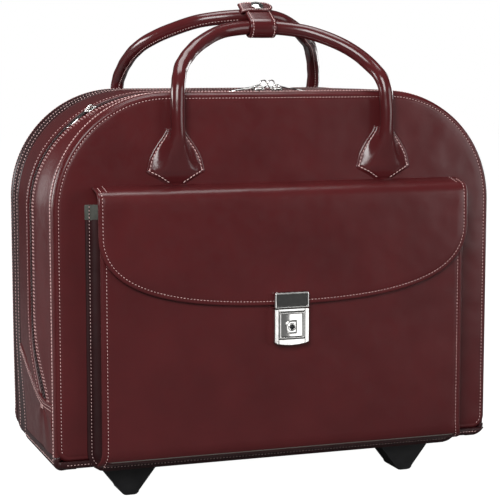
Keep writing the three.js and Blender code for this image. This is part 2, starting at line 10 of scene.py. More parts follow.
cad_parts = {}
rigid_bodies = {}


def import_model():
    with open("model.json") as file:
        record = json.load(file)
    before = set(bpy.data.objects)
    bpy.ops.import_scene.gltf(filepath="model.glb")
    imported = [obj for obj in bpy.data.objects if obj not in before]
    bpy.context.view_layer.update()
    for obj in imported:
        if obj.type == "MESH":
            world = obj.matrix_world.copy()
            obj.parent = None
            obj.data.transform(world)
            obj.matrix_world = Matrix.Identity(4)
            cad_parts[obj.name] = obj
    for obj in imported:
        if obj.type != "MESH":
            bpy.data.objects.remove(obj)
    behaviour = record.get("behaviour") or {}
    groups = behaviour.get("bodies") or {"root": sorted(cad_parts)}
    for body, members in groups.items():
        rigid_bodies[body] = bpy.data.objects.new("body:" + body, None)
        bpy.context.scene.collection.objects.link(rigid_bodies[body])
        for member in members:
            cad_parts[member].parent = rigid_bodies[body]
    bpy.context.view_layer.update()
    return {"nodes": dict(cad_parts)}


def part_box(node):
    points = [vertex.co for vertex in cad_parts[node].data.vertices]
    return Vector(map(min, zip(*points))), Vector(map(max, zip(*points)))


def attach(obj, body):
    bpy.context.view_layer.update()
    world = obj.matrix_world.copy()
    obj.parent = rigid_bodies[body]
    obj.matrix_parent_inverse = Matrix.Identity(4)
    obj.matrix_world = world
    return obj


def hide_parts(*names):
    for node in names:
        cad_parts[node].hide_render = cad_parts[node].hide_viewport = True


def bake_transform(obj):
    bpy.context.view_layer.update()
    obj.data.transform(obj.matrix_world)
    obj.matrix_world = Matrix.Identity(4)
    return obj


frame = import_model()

# Everything is built in "case millimetres": x from the middle of the case, y the depth behind the
# front panel's face, z the height above the underside of the case. make() turns them into metres
# in the frame.
MM = 0.001
front_low, front_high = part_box("front_panel")
ORIGIN = np.array([0.0, front_low.y, front_low.z])
RNG = np.random.default_rng(7)


def span(node):
    """Lowest and highest corner of a CAD node in case millimetres."""
    low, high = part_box(node)
    return (np.array(low) - ORIGIN) / MM, (np.array(high) - ORIGIN) / MM


def world(point):
    return Vector((np.array(point, float) * MM + ORIGIN).tolist())


# ---------- sizes read from the frame ----------
HALF = span("front_panel")[1][0]
HEIGHT = span("front_panel")[1][2]
DEPTH = span("rear_panel")[1][1]
FLOOR = span("front_foot_left")[0][2]
POCKET_LOW, POCKET_HIGH = span("pocket_front")
FLAP_LOW, FLAP_HIGH = span("pocket_flap")
LOCK_LOW, LOCK_HIGH = span("lock_body")
BUTTON_LOW, BUTTON_HIGH = span("lock_button")
STRIKE_LOW, STRIKE_HIGH = span("lock_strike_plate")
TAB_LOW, TAB_HIGH = span("front_tab_right")
ZIP_TOP_Y = (span("slider_top_left")[0][1] + span("slider_top_left")[1][1]) / 2
CORNER_SLIDER_Y = (span("slider_corner")[0][1] + span("slider_corner")[1][1]) / 2

# ---------- sizes of the leatherwork ----------
TOP_RADIUS = 103.0
BOTTOM_RADIUS = 10.0
LEFT_SQUARE = 2.6  # the left bottom corner is worn squarer than its radius
BASE_STRIP = 6.5  # the base leather turns up this far under the front panel
REAR_ROUND = 30.0  # radius of the rear bottom edge
SIDE_BULGE = 8.0  # how far the soft sides stand out
TOP_BULGE = 1.5
ZIP_SIDE_Y = 64.0
ZIP_END_Y = 41.0
ZIP_EASE_Z = 140.0
SIDE_PANEL_TOP = 60.0
RIM_DEPTH = 14.0  # the front panel's rolled edge
BACK_BAND_Y = 128.0  # where the rear gusset's darker band starts
WALL = 2.2
PITCH = 3.1  # one stitch to the next
TUBE = 6.4


def smooth(t):
    t = np.clip(t, 0, 1)
    return t * t * (3 - 2 * t)


# ---------- mesh helpers ----------
MATERIALS = {}


def make(name, points, faces, body, finish, hides=(), flat=False):
    """A mesh from case millimetres that rides on a body, or on none when no body is given."""
    mesh = bpy.data.meshes.new(name)
    co = np.asarray(points, float).reshape(-1, 3) * MM + ORIGIN
    mesh.from_pydata(co.tolist(), [], [tuple(map(int, f)) for f in faces])
    mesh.validate()
    work = bmesh.new()
    work.from_mesh(mesh)
    bmesh.ops.remove_doubles(work, verts=work.verts, dist=1e-6)
    bmesh.ops.recalc_face_normals(work, faces=work.faces)
    work.to_mesh(mesh)
    work.free()
    if not flat:
        mesh.polygons.foreach_set("use_smooth", np.ones(len(mesh.polygons), bool))
    mesh.materials.append(MATERIALS[finish])
    obj = bpy.data.objects.new(name, mesh)
    bpy.context.scene.collection.objects.link(obj)
    if body:
        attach(obj, body)
    if hides:
        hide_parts(*hides)
    return obj


def soften(obj, width=0.6, segments=3, angle=35):
    """Rounds the sharp edges of a hard piece."""
    bevel = obj.modifiers.new("edges", "BEVEL")
    bevel.width = width * MM
    bevel.segments = segments
    bevel.limit_method = "ANGLE"
    bevel.angle_limit = math.radians(angle)
    bevel.harden_normals = True
    obj.data.polygons.foreach_set("use_smooth", np.ones(len(obj.data.polygons), bool))
    return obj


def quads(rows, columns, wrap=False, start=0, flip=False):
    """Faces of a grid of rows x columns points; wrap closes each row on itself."""
    r = np.arange(rows - 1)[:, None]
    c = np.arange(columns if wrap else columns - 1)[None, :]
    a = r * columns + c
    b = r * columns + (c + 1) % columns
    faces = np.stack([a, b, b + columns, a + columns], -1).reshape(-1, 4) + start
    return (faces[:, ::-1] if flip else faces).tolist()


def slab(outer, inner):
    """A closed solid between two grids of points of the same shape."""
    n, m = outer.shape[:2]
    points = np.concatenate([outer.reshape(-1, 3), inner.reshape(-1, 3)])
    faces = quads(n, m) + quads(n, m, start=n * m, flip=True)
    top = np.arange(n * m).reshape(n, m)
    edge = np.concatenate([top[0, :-1], top[:-1, -1], top[-1, :0:-1], top[:0:-1, 0]])
    after = np.roll(edge, -1)
    faces += np.stack([edge, edge + n * m, after + n * m, after], -1).tolist()
    return points, faces


def insetter(edge, normal, tight=14.0):
    """A function that moves a clockwise outline inwards without crossing itself at its corners: what
    would pass the meeting point of a tight corner's two inset sides stops at that point."""
    n = len(edge)
    lengths = np.linalg.norm(np.roll(edge, -1, 0) - np.roll(edge, 1, 0), axis=1) / 2
    after, before = np.roll(normal, -1, 0), np.roll(normal, 1, 0)
    turn = np.arctan2(before[:, 1] * after[:, 0] - before[:, 0] * after[:, 1], (before * after).sum(1)) / 2
    cornered = turn > lengths / tight
    corners = []
    if cornered.any() and not cornered.all():
        first = int(np.argmin(cornered))
        run = []
        for i in [*np.roll(np.arange(n), -first), first]:
            if cornered[i]:
                run.append(i)
            elif run:
                corners.append((run, (run[0] - 1) % n, (run[-1] + 1) % n))
                run = []

    def inset(distance):
        moved = edge - normal * distance
        for run, a, b in corners:
            sides = np.stack([normal[a], normal[b]])
            if abs(np.linalg.det(sides)) < 0.05:
                continue
            meeting = np.linalg.solve(sides, (sides * np.stack([edge[a], edge[b]])).sum(1) - distance)
            half = len(run) // 2
            for start, step, line in ((run[half - 1] if half else a, -1, normal[a]), (run[half], 1, normal[b])):
                along = np.array([-line[1], line[0]]) * step
                away = edge[(start + step * (half + 2)) % n] - edge[start]
                along = along if along @ away > 0 else -along
                i = start
                for count in range(n // 5):
                    if (moved[i] - meeting) @ along < 0:
                        moved[i] = meeting
                    elif count > half:
                        break
                    i = (i + step) % n
        return moved

    return inset


def filled(outline, spacing):
    """Triangles over the inside of a flat outline: its own points and an even grid of inner ones."""
    low, high = outline.min(0), outline.max(0)
    count = np.maximum(((high - low) / spacing).astype(int), 1)
    x = low[0] + (high[0] - low[0]) * (np.arange(count[0]) + 0.5) / count[0]
    y = low[1] + (high[1] - low[1]) * (np.arange(count[1]) + 0.5) / count[1]
    grid = np.stack(np.meshgrid(x, y, indexing="ij"), -1).reshape(-1, 2)
    after = np.roll(outline, -1, 0)
    crossed = (outline[None, :, 1] > grid[:, None, 1]) != (after[None, :, 1] > grid[:, None, 1])
    rise = np.where(np.abs(after[:, 1] - outline[:, 1]) < 1e-9, 1e-9, after[:, 1] - outline[:, 1])
    at = outline[:, 0] + (grid[:, None, 1] - outline[None, :, 1]) * (after[:, 0] - outline[:, 0]) / rise
    inside = (crossed & (at > grid[:, None, 0])).sum(1) % 2 == 1
    away = np.sqrt(((grid[:, None] - outline[None]) ** 2).sum(-1)).min(1) > spacing * 0.45
    points = np.concatenate([outline, grid[inside & away]])
    n = len(outline)
    edges = [(i, (i + 1) % n) for i in range(n)]
    made, _, faces, *_ = delaunay_2d_cdt([Vector(p) for p in points.tolist()], edges, [], 1, 1e-5)
    return np.array([tuple(v) for v in made]), [tuple(f) for f in faces]


def sheet(edge, normal, profile, place, thickness, spacing=7.0):
    """A closed piece of leather. edge and normal are its outline and outward normals in its flat
    pattern, profile its (inset, height) pairs from the edge inwards, and place(a, b, height) puts
    pattern points into space. Its inside is filled with points about `spacing` apart."""
    inwards = insetter(edge, normal)
    tuck = min(6.0, 0.2 * np.ptp(edge, axis=0).min())
    under = (inwards(tuck), -thickness)
    stack = [under, (inwards(profile[0][0]), -thickness)] + [(inwards(inset), height) for inset, height in profile]
    points = [place(r[:, 0], r[:, 1], np.full(len(r), float(h))) for r, h in stack]
    faces = quads(len(stack), len(edge), wrap=True)
    start = len(stack) * len(edge)
    for (ring, height), gap in ((stack[-1], spacing), (under, spacing * 2)):
        flat, triangles = filled(ring, gap)
        points.append(place(flat[:, 0], flat[:, 1], np.full(len(flat), float(height))))
        faces += [tuple(i + start for i in t) for t in triangles]
        start += len(flat)
    return np.concatenate(points), faces


def walk(points, closed=False):
    """Distance along a polyline."""
    points = np.asarray(points, float)
    if closed:
        points = np.vstack([points, points[:1]])
    return np.concatenate([[0], np.cumsum(np.linalg.norm(np.diff(points, axis=0), axis=1))]), points


def resample(points, spacing, closed=False):
    """Points at an even spacing along a polyline."""
    length, points = walk(points, closed)
    count = max(2, int(round(length[-1] / spacing)))
    at = np.linspace(0, length[-1], count, endpoint=not closed)
    return np.stack([np.interp(at, length, points[:, i]) for i in range(points.shape[1])], -1)


def outline_normals(points):
    """Outward normals of a closed, clockwise outline."""
    tangent = np.roll(points, -1, 0) - np.roll(points, 1, 0)
    tangent /= np.linalg.norm(tangent, axis=1)[:, None]
    return np.stack([-tangent[:, 1], tangent[:, 0]], -1)


def spline(points, count, closed=False):
    """A Catmull-Rom curve through points, evenly spaced."""
    p = np.asarray(points, float)
    p = np.vstack([2 * p[0] - p[1], p, 2 * p[-1] - p[-2]])
    t = np.linspace(0, 1, 24, endpoint=False)[:, None]
    out = []
    for i in range(1, len(p) - 2):
        a, b, c, d = p[i - 1], p[i], p[i + 1], p[i + 2]
        out.append(0.5 * (2 * b + (c - a) * t + (2 * a - 5 * b + 4 * c - d) * t**2
                          + (3 * b - a - 3 * c + d) * t**3))
    out = np.vstack(out + [p[-2:-1]])
    length, out = walk(out)
    at = np.linspace(0, length[-1], count)
    return np.stack([np.interp(at, length, out[:, i]) for i in range(p.shape[1])], -1)


def sweep(path, radius, sides=24, start_up=(0, 1, 0)):
    """A round bar along a path; radius(i, angle) may vary. Returns points, faces and the frames."""
    path = np.asarray(path, float)
    tangent = np.gradient(path, axis=0)
    tangent /= np.linalg.norm(tangent, axis=1)[:, None]
    up = np.array(start_up, float)
    ups = []
    for t in tangent:
        up = up - t * (up @ t)
        up /= np.linalg.norm(up)
        ups.append(up)
    ups = np.array(ups)
    across = np.cross(tangent, ups)
    angle = np.linspace(0, 2 * math.pi, sides, endpoint=False)
    r = radius(np.arange(len(path))[:, None], angle[None, :])
    ring = (path[:, None] + r[..., None] * (np.cos(angle)[None, :, None] * ups[:, None]
                                            + np.sin(angle)[None, :, None] * across[:, None]))
    points = ring.reshape(-1, 3)
    faces = quads(len(path), sides, wrap=True)
    points = np.vstack([points, path[:1], path[-1:]])
    base, tip = len(points) - 2, len(points) - 1
    ring0 = np.arange(sides)
    after = (ring0 + 1) % sides
    end = (len(path) - 1) * sides
    faces += [(base, b, a) for a, b in zip(ring0, after)]
    faces += [(tip, a + end, b + end) for a, b in zip(ring0, after)]
    return points, faces, (tangent, ups, across)


def turned(profile, segments=48):
    """A solid of revolution about x from (x, radius) pairs that close on themselves."""
    profile = np.asarray(profile, float)
    angle = np.linspace(0, 2 * math.pi, segments, endpoint=False)
    x = np.repeat(profile[:, 0][:, None], segments, 1)
    y = profile[:, 1][:, None] * np.cos(angle)
    z = profile[:, 1][:, None] * np.sin(angle)
    points = np.stack([x, y, z], -1).reshape(-1, 3)
    rows = np.arange(len(profile))
    faces = []
    for i, j in zip(rows, np.roll(rows, -1)):
        a = i * segments + np.arange(segments)
        b = j * segments + np.arange(segments)
        faces += np.stack([a, np.roll(a, -1), np.roll(b, -1), b], -1).tolist()
    return points, faces


def block(low, high):
    """Points and faces of a box."""
    low, high = np.array(low, float), np.array(high, float)
    pick = np.array([[i, j, k] for k in (0, 1) for j in (0, 1) for i in (0, 1)])
    points = np.where(pick == 0, low, high)
    faces = [(0, 2, 3, 1), (4, 5, 7, 6), (0, 1, 5, 4), (2, 6, 7, 3), (0, 4, 6, 2), (1, 3, 7, 5)]
    return points, faces


def prism(outline, y0, y1):
    """An outline in x and z, extruded from depth y0 to y1."""
    outline = np.asarray(outline, float)
    n = len(outline)
    points = np.concatenate([np.insert(outline, 1, y, axis=1) for y in (y0, y1)])
    ring = np.arange(n)
    faces = [tuple(ring), tuple(ring[::-1] + n)]
    faces += [(a, b, b + n, a + n) for a, b in zip(ring, np.roll(ring, -1))]
    return points, faces


def merged(parts):
    """Several (points, faces) pairs as one."""
    points, faces, start = [], [], 0
    for p, f in parts:
        points.append(np.asarray(p).reshape(-1, 3))
        faces += [tuple(i + start for i in face) for face in f]
        start += len(points[-1])
    return np.concatenate(points), faces


# ---------- stitches ----------
THREADS = {}  # piece name -> list of (points, faces)
STITCH_RINGS = ((-1.0, 0.0), (-0.72, 0.75), (0.0, 1.0), (0.72, 0.75), (1.0, 0.0))


def stitches(row, path, normal, pitch=PITCH, size=(0.84, 0.36, 0.36), lean=0.12, closed=False):
    """Adds a row of thread stitches on top of a path; normal is one outward direction per point."""
    length, points = walk(path, closed)
    normal = np.broadcast_to(np.asarray(normal, float), np.shape(path))
    if closed:
        normal = np.vstack([normal, normal[:1]])
    count = max(1, int(length[-1] / pitch))
    at = (np.arange(count) + 0.5) * length[-1] / count

    def along(values, where):
        return np.stack([np.interp(where, length, values[:, i]) for i in range(3)], -1)

    centre, up = along(points, at), along(normal, at)
    tangent = along(points, at + 0.6) - along(points, at - 0.6)
    tangent /= np.linalg.norm(tangent, axis=1)[:, None] + 1e-9
    up = up - tangent * np.sum(up * tangent, 1)[:, None]
    up /= np.linalg.norm(up, axis=1)[:, None] + 1e-9
    side = np.cross(up, tangent)
    slant = lean + RNG.normal(0, 0.03, count)[:, None]
    tangent, side = tangent * np.cos(slant) + side * np.sin(slant), side * np.cos(slant) - tangent * np.sin(slant)
    half, wide, high = size
    sides = 6
    angle = np.linspace(0, 2 * math.pi, sides, endpoint=False)
    rings = []
    for t, fat in STITCH_RINGS:
        fat = max(fat, 0.15)
        lift = high * (1 - t * t) * 0.6
        ring = (centre[:, None] + tangent[:, None] * half * t + up[:, None] * lift
                + side[:, None] * (np.cos(angle) * wide * fat)[None, :, None]
                + up[:, None] * (np.sin(angle) * high * fat)[None, :, None])
        rings.append(ring)
    grid = np.stack(rings, 1)  # stitch, ring, side, xyz
    per = len(STITCH_RINGS) * sides
    local = np.array(quads(len(STITCH_RINGS), sides, wrap=True))
    caps = [list(range(sides))[::-1], [per - sides + i for i in range(sides)]]
    start = (np.arange(count) * per)[:, None, None]
    faces = (local[None] + start).reshape(-1, 4).tolist()
    faces += (np.array(caps)[None] + start).reshape(-1, sides).tolist()
    THREADS.setdefault(row, []).append((grid.reshape(-1, 3), faces))


def sew(row, body, finish="thread"):
    """Makes one piece of all the stitches gathered under a name."""
    return make(row, *merged(THREADS.pop(row)), body, finish)


# ---------- materials ----------
def new_material(name, slot):
    material = bpy.data.materials.new(name)
    material.use_nodes = True
    MATERIALS[name] = material
    return material.node_tree, material.node_tree.nodes["Principled BSDF"]


def node(tree, kind, inputs=None, **settings):
    made = tree.nodes.new(kind)
    for key, value in settings.items():
        setattr(made, key, value)
    for key, value in (inputs or {}).items():
        if isinstance(value, bpy.types.NodeSocket):
            tree.links.new(value, made.inputs[key])
        else:
            made.inputs[key].default_value = value
    return made


def millimetres(tree, stretch=(1, 1, 1)):
    """Object coordinates in millimetres, optionally stretched."""
    place = node(tree, "ShaderNodeTexCoord").outputs["Object"]
    scale = [1000 * s for s in stretch]
    return node(tree, "ShaderNodeVectorMath", {0: place, 1: scale}, operation="MULTIPLY").outputs[0]


def noise(tree, vector, scale, detail=2.0, rough=0.5):
    return node(tree, "ShaderNodeTexNoise", {"Vector": vector, "Scale": scale, "Detail": detail,
                                             "Roughness": rough}).outputs["Fac"]


def remap(tree, value, low, high, from_low=0.3, from_high=0.7):
    return node(tree, "ShaderNodeMapRange", {"Value": value, "From Min": from_low, "From Max": from_high,
                                             "To Min": low, "To Max": high}).outputs["Result"]


def bump(tree, height, distance, strength=1.0, below=None):
    inputs = {"Height": height, "Distance": distance, "Strength": strength}
    if below is not None:
        inputs["Normal"] = below
    return node(tree, "ShaderNodeBump", inputs).outputs["Normal"]


def mix(tree, factor, a, b):
    made = node(tree, "ShaderNodeMix", data_type="RGBA")
    for socket, value in ((made.inputs[0], factor), (made.inputs[6], a), (made.inputs[7], b)):
        if isinstance(value, bpy.types.NodeSocket):
            tree.links.new(value, socket)
        else:
            socket.default_value = value
    return made.outputs[2]


def rgb(r, g, b):
    return (r, g, b, 1.0)


def leather(name, slot, colour, dark, rough=(0.27, 0.36), coat=0.35, wave=0.00025):
    """Smooth, waxed cowhide: fine pores, faint clouding, gentle waviness."""
    tree, bsdf = new_material(name, slot)
    place = millimetres(tree)
    clouds = noise(tree, place, 0.022, 3)
    patches = noise(tree, place, 0.12, 4, 0.6)
    tone = mix(tree, remap(tree, clouds, 0, 1), rgb(*dark), rgb(*colour))
    tone = mix(tree, remap(tree, patches, 0, 0.28), tone, rgb(*[c * 0.72 for c in colour]))
    pores = node(tree, "ShaderNodeTexVoronoi", {"Vector": place, "Scale": 1.1}, feature="DISTANCE_TO_EDGE")
    grain = noise(tree, place, 2.6, 3, 0.65)
    swell = noise(tree, place, 0.035, 1)
    lumpy = bump(tree, swell, wave * 6, 0.6)
    creased = bump(tree, grain, 0.00006, 0.35, lumpy)
    pored = bump(tree, pores.outputs["Distance"], 0.00004, 0.3, creased)
    tree.links.new(tone, bsdf.inputs["Base Color"])
    tree.links.new(remap(tree, patches, *rough), bsdf.inputs["Roughness"])
    tree.links.new(pored, bsdf.inputs["Normal"])
    bsdf.inputs["Coat Weight"].default_value = coat
    bsdf.inputs["Coat Roughness"].default_value = 0.16
    bsdf.inputs["Specular IOR Level"].default_value = 0.38
    tree.links.new(lumpy, bsdf.inputs["Coat Normal"])


def metal(name, slot, colour, rough, brushed=(1, 1, 1), depth=0.00001):
    tree, bsdf = new_material(name, slot)
    place = millimetres(tree, brushed)
    lines = noise(tree, place, 1.5, 3, 0.6)
    smear = noise(tree, millimetres(tree), 0.25, 2)
    bsdf.inputs["Base Color"].default_value = rgb(*colour)
    bsdf.inputs["Metallic"].default_value = 1.0
    tree.links.new(remap(tree, smear, rough * 0.75, rough * 1.4), bsdf.inputs["Roughness"])
    tree.links.new(bump(tree, lines, depth, 0.4), bsdf.inputs["Normal"])


def moulded(name, slot, colour, rough, depth=0.00005, scale=2.2):
    tree, bsdf = new_material(name, slot)
    place = millimetres(tree)
    texture = noise(tree, place, scale, 2, 0.7)
    scuffs = noise(tree, place, 0.09, 4, 0.6)
    tone = mix(tree, remap(tree, scuffs, 0, 0.5), rgb(*colour), rgb(*[c * 1.9 + 0.002 for c in colour]))
    tree.links.new(tone, bsdf.inputs["Base Color"])
    tree.links.new(remap(tree, scuffs, rough * 0.85, rough * 1.15), bsdf.inputs["Roughness"])
    tree.links.new(bump(tree, texture, depth, 0.5), bsdf.inputs["Normal"])


def woven(name, slot, colour, thread=0.55, rough=0.85, depth=0.00012):
    """Plain-weave cloth: two sets of threads at right angles, with slubs."""
    tree, bsdf = new_material(name, slot)
    place = millimetres(tree)
    parts = node(tree, "ShaderNodeSeparateXYZ", {0: place}).outputs
    waves = []
    for a, b in (("X", "Z"), ("Z", "X")):
        slope = node(tree, "ShaderNodeMath", {0: parts[b], 1: parts["Y"]}, operation="ADD").outputs[0]
        line = node(tree, "ShaderNodeMath", {0: parts[a] if a == "X" else slope, 1: math.pi / thread},
                    operation="MULTIPLY").outputs[0]
        waves.append(node(tree, "ShaderNodeMath", {0: line}, operation="SINE").outputs[0])
    weave = node(tree, "ShaderNodeMath", {0: waves[0], 1: waves[1]}, operation="MULTIPLY").outputs[0]
    slubs = noise(tree, place, 0.4, 3)
    shade = remap(tree, weave, 0.25, 0.0, -1, 1)
    tone = mix(tree, shade, rgb(*colour), rgb(*[c * 0.5 for c in colour]))
    tone = mix(tree, remap(tree, slubs, 0, 0.35), tone, rgb(*[min(1, c * 1.35) for c in colour]))
    tree.links.new(tone, bsdf.inputs["Base Color"])
    bsdf.inputs["Roughness"].default_value = rough
    bsdf.inputs["Sheen Weight"].default_value = 0.25
    tree.links.new(bump(tree, weave, depth, 0.6), bsdf.inputs["Normal"])


OXBLOOD = (0.120, 0.0155, 0.0175)
OXBLOOD_DARK = (0.096, 0.0122, 0.014)
leather("leather", "leather", OXBLOOD, OXBLOOD_DARK, (0.3, 0.4), 0.2)
leather("leather_soft", "leather", (0.1, 0.0175, 0.021), (0.075, 0.013, 0.016), (0.33, 0.44), 0.2, 0.0004)
leather("leather_dark", "leather_dark", (0.042, 0.0075, 0.009), (0.026, 0.0055, 0.0065), (0.36, 0.46), 0.15)
leather("handle_leather", "leather", (0.118, 0.0165, 0.0185), (0.088, 0.0125, 0.0145), (0.18, 0.26), 0.6, 0.00012)
metal("nickel", "nickel", (0.82, 0.81, 0.79), 0.09)
metal("aluminium", "aluminium", (0.72, 0.73, 0.74), 0.26, (4, 4, 0.12), 0.00002)
moulded("black_plastic", "black_plastic", (0.011, 0.011, 0.012), 0.42)
moulded("rubber", "rubber", (0.02, 0.02, 0.021), 0.78, 0.0001, 1.2)
moulded("thread", "leather", (0.78, 0.52, 0.50), 0.7, 0.0001, 5.0)
moulded("dark_thread", "leather_dark", (0.10, 0.05, 0.048), 0.75, 0.0001, 5.0)
moulded("coil", "zip_chain", (0.036, 0.012, 0.013), 0.34, 0.00003, 3.0)
woven("zip_tape", "zip_chain", (0.036, 0.009, 0.011), 0.5)
woven("lining", "lining", (0.105, 0.11, 0.095), 0.7)
woven("black_webbing", "lining", (0.018, 0.018, 0.019), 1.1)


# ---------- the case's outline ----------
class Outline:
    """A rounded rectangle in x and z, by distance from the left side's lowest point, clockwise."""

    def __init__(self, half, bottom, top, top_radius, bottom_radius, step=0.5):
        b, t = bottom_radius, top_radius
        rows = []

        def line(start, end, normal):
            count = max(2, int(math.dist(start, end) / step))
            for k in range(count):
                f = k / count
                rows.append([start[i] + (end[i] - start[i]) * f for i in (0, 1)] + list(normal))

        def arc(cx, cz, radius, from_deg):
            count = max(4, int(radius * math.pi / 2 / step))
            for k in range(count):
                a = math.radians(from_deg - 90 * k / count)
                rows.append([cx + radius * math.cos(a), cz + radius * math.sin(a), math.cos(a), math.sin(a)])

        line((-half, bottom + b), (-half, top - t), (-1, 0))
        self.left_end = len(rows)
        arc(-half + t, top - t, t, 180)
        line((-half + t, top), (half - t, top), (0, 1))
        arc(half - t, top - t, t, 90)
        self.right_start = len(rows)
        line((half, top - t), (half, bottom + b), (1, 0))
        self.right_end = len(rows)
        arc(half - b, bottom + b, b, 0)
        line((half - b, bottom), (-half + b, bottom), (0, -1))
        arc(-half + b, bottom + b, b, 270)
        self.rows = np.array(rows)
        self.length, _ = walk(self.rows[:, :2], closed=True)
        self.total = self.length[-1]
        self.side = self.length[self.left_end]
        self.right = self.length[self.right_start]
        self.end = self.length[self.right_end]  # the right side's lowest point

    def at(self, s):
        """x, z and the outward normal at distance s, which may run past the start or the end."""
        s = np.mod(np.asarray(s, float), self.total)
        rows = np.vstack([self.rows, self.rows[:1]])
        x, z, nx, nz = (np.interp(s, self.length, rows[:, i]) for i in range(4))
        size = np.hypot(nx, nz)
        return x, z, nx / size, nz / size

    def ring(self, spacing):
        s = np.linspace(0, self.total, int(self.total / spacing), endpoint=False)
        x, z, nx, nz = self.at(s)
        return s, np.stack([x, z], -1), np.stack([nx, nz], -1)


CASE = Outline(HALF, 0, HEIGHT, TOP_RADIUS, BOTTOM_RADIUS)
FACE = Outline(HALF, BASE_STRIP, HEIGHT, TOP_RADIUS, 12)
CORNER = BOTTOM_RADIUS * math.pi / 2  # distance round a bottom corner


def zip_y(s):
    """Depth of the zip along the case's outline."""
    x, z, nx, nz = CASE.at(s)
    turn = np.arcsin(np.clip(np.abs(nx), 0, 1)) / (math.pi / 2)
    over = ZIP_TOP_Y + (ZIP_SIDE_Y - ZIP_TOP_Y) * smooth(turn)
    low = np.clip((z - SIDE_PANEL_TOP) / (ZIP_EASE_Z - SIDE_PANEL_TOP), 0, 1)
    beside = ZIP_END_Y + (ZIP_SIDE_Y - ZIP_END_Y) * np.sin(low * math.pi / 2)
    return np.where(z > HEIGHT - TOP_RADIUS, over, beside)


def rear_round(points):
    """Rounds the rear bottom edge of the case by lifting what lies low and far back."""
    points = np.array(points, float)
    over = np.clip((points[..., 1] - DEPTH + REAR_ROUND) / REAR_ROUND, 0, 1)
    lift = REAR_ROUND * (1 - np.sqrt(1 - over**2))
    points[..., 2] += lift * np.clip(1 - points[..., 2] / 80, 0, 1) ** 2
    return points


def hide(s, y, out=0.0):
    """Points on the soft hide that runs round the case, `out` above its surface. s and y broadcast."""
    s, y, out = np.broadcast_arrays(np.asarray(s, float), np.asarray(y, float), np.asarray(out, float))
    x, z, nx, nz = CASE.at(s)
    deep = np.clip(y / DEPTH, 0, 1)
    belly = np.sin(math.pi * deep**0.7) * smooth((y - 6) / 46)
    amount = (TOP_BULGE + (SIDE_BULGE - TOP_BULGE) * np.abs(nx) ** 1.5) * smooth(z / 110)
    square = np.where((nx < 0) & (nz < 0), LEFT_SQUARE * (2 * nx * nz) ** 2, 0)
    lift = amount * belly + square + out
    return rear_round(np.stack([x + nx * lift, y, z + nz * lift], -1))


def hide_normal(s):
    x, z, nx, nz = CASE.at(s)
    return np.stack([nx, np.zeros_like(nx), nz], -1)


def hide_band(name, s, rows, body, finish, hides=(), wall=WALL):
    """A strip of hide: rows are (y, out) pairs, each a number or one value per s."""
    y = np.stack([np.broadcast_to(r[0], s.shape) for r in rows], -1)
    out = np.stack([np.broadcast_to(r[1], s.shape) for r in rows], -1)
    outer = hide(s[:, None], y, out)
    inner = hide(s[:, None], y, np.minimum(out, 0) - wall)
    return make(name, *slab(outer, inner), body, finish, hides)


def hide_stitches(row, s, y, out, **how):
    stitches(row, hide(s, y, out), hide_normal(s), **how)


# ---------- the leather of the case ----------
UNDER = CORNER + 8  # the hide turns this far round and under the case
GUSSET_GAP = 7.5  # the gussets stop this far either side of the zip
RIM_LOW = 3.6  # the front rim's ends, this far round the bottom corners
BINDING_TOP = 11.0
SEAM_Y = BACK_BAND_Y
REAR_RIM_Y = DEPTH - RIM_DEPTH
ZIP_LOW_Z = 52.0  # the zip and its strips run down behind the side panels to here
PANEL_DOME = 2.2


def edge_profile(step=0.0):
    """(inset, height) pairs of a turned edge with a row of stitches sunk 4.2 mm inside it."""
    return ((0, -3.5), (0.35, -1.9), (1.1, -0.75), (2.3, -0.12), (3.4, 0.05), (4.2, -0.32 - step), (5.0, 0.05),
            (7, 0.3), (12, 0.42))


def domed(outline, y, side, dome):
    """Places a panel's pattern at depth y, swelling by dome in the middle, side -1 forwards."""
    middle = HEIGHT / 2

    def place(a, b, height):
        swell = dome * (1 - np.clip(np.abs(a) / HALF, 0, 1) ** 2.5) * (1 - np.abs((b - middle) / middle) ** 2.5)
        return np.stack([a, y + side * (height + np.maximum(swell, 0)), b], -1)

    return place


def over_top(low_z, spacing=2.6):
    """Distances round the case from its left side at height low_z to its right side."""
    start = low_z - BOTTOM_RADIUS
    stop = CASE.end - start
    return np.linspace(start, stop, int((stop - start) / spacing))


def between(low, high, count, out=0.0):
    """Evenly spaced (y, out) rows strictly between two depths."""
    return [(low + (high - low) * k / (count + 1), out) for k in range(1, count + 1)]


def panels():
    s, edge, normal = FACE.ring(2.6)
    place = domed(FACE, 0, -1, PANEL_DOME)
    make("front_panel_leather", *sheet(edge, normal, edge_profile(), place, 1.6, 8), "front_shell", "leather",
         ["front_panel"])
    around = np.linspace(-7, FACE.end + 14, 500)
    x, z, nx, nz = FACE.at(around)
    stitches("front_panel_stitching", place(x - nx * 4.2, z - nz * 4.2, -0.05), (0, -1, 0))
    sew("front_panel_stitching", "front_shell")

    s, edge, normal = CASE.ring(2.6)
    back = domed(CASE, DEPTH, 1, 0.5)

    def place_back(a, b, height):
        points = back(a, b, np.minimum(height, 0))
        lift = rear_round(np.stack([a, np.full_like(a, DEPTH), b], -1))[..., 2]
        points[..., 2] = lift
        return points

    make("rear_panel_leather", *sheet(edge, normal, edge_profile(), place_back, 1.6, 8), "rear_shell", "leather",
         ["rear_panel"])
    inset = edge - normal * 4.2
    stitches("rear_panel_stitching", place_back(inset[:, 0], inset[:, 1], -0.05), (0, 1, 0), closed=True)
    sew("rear_panel_stitching", "rear_shell")


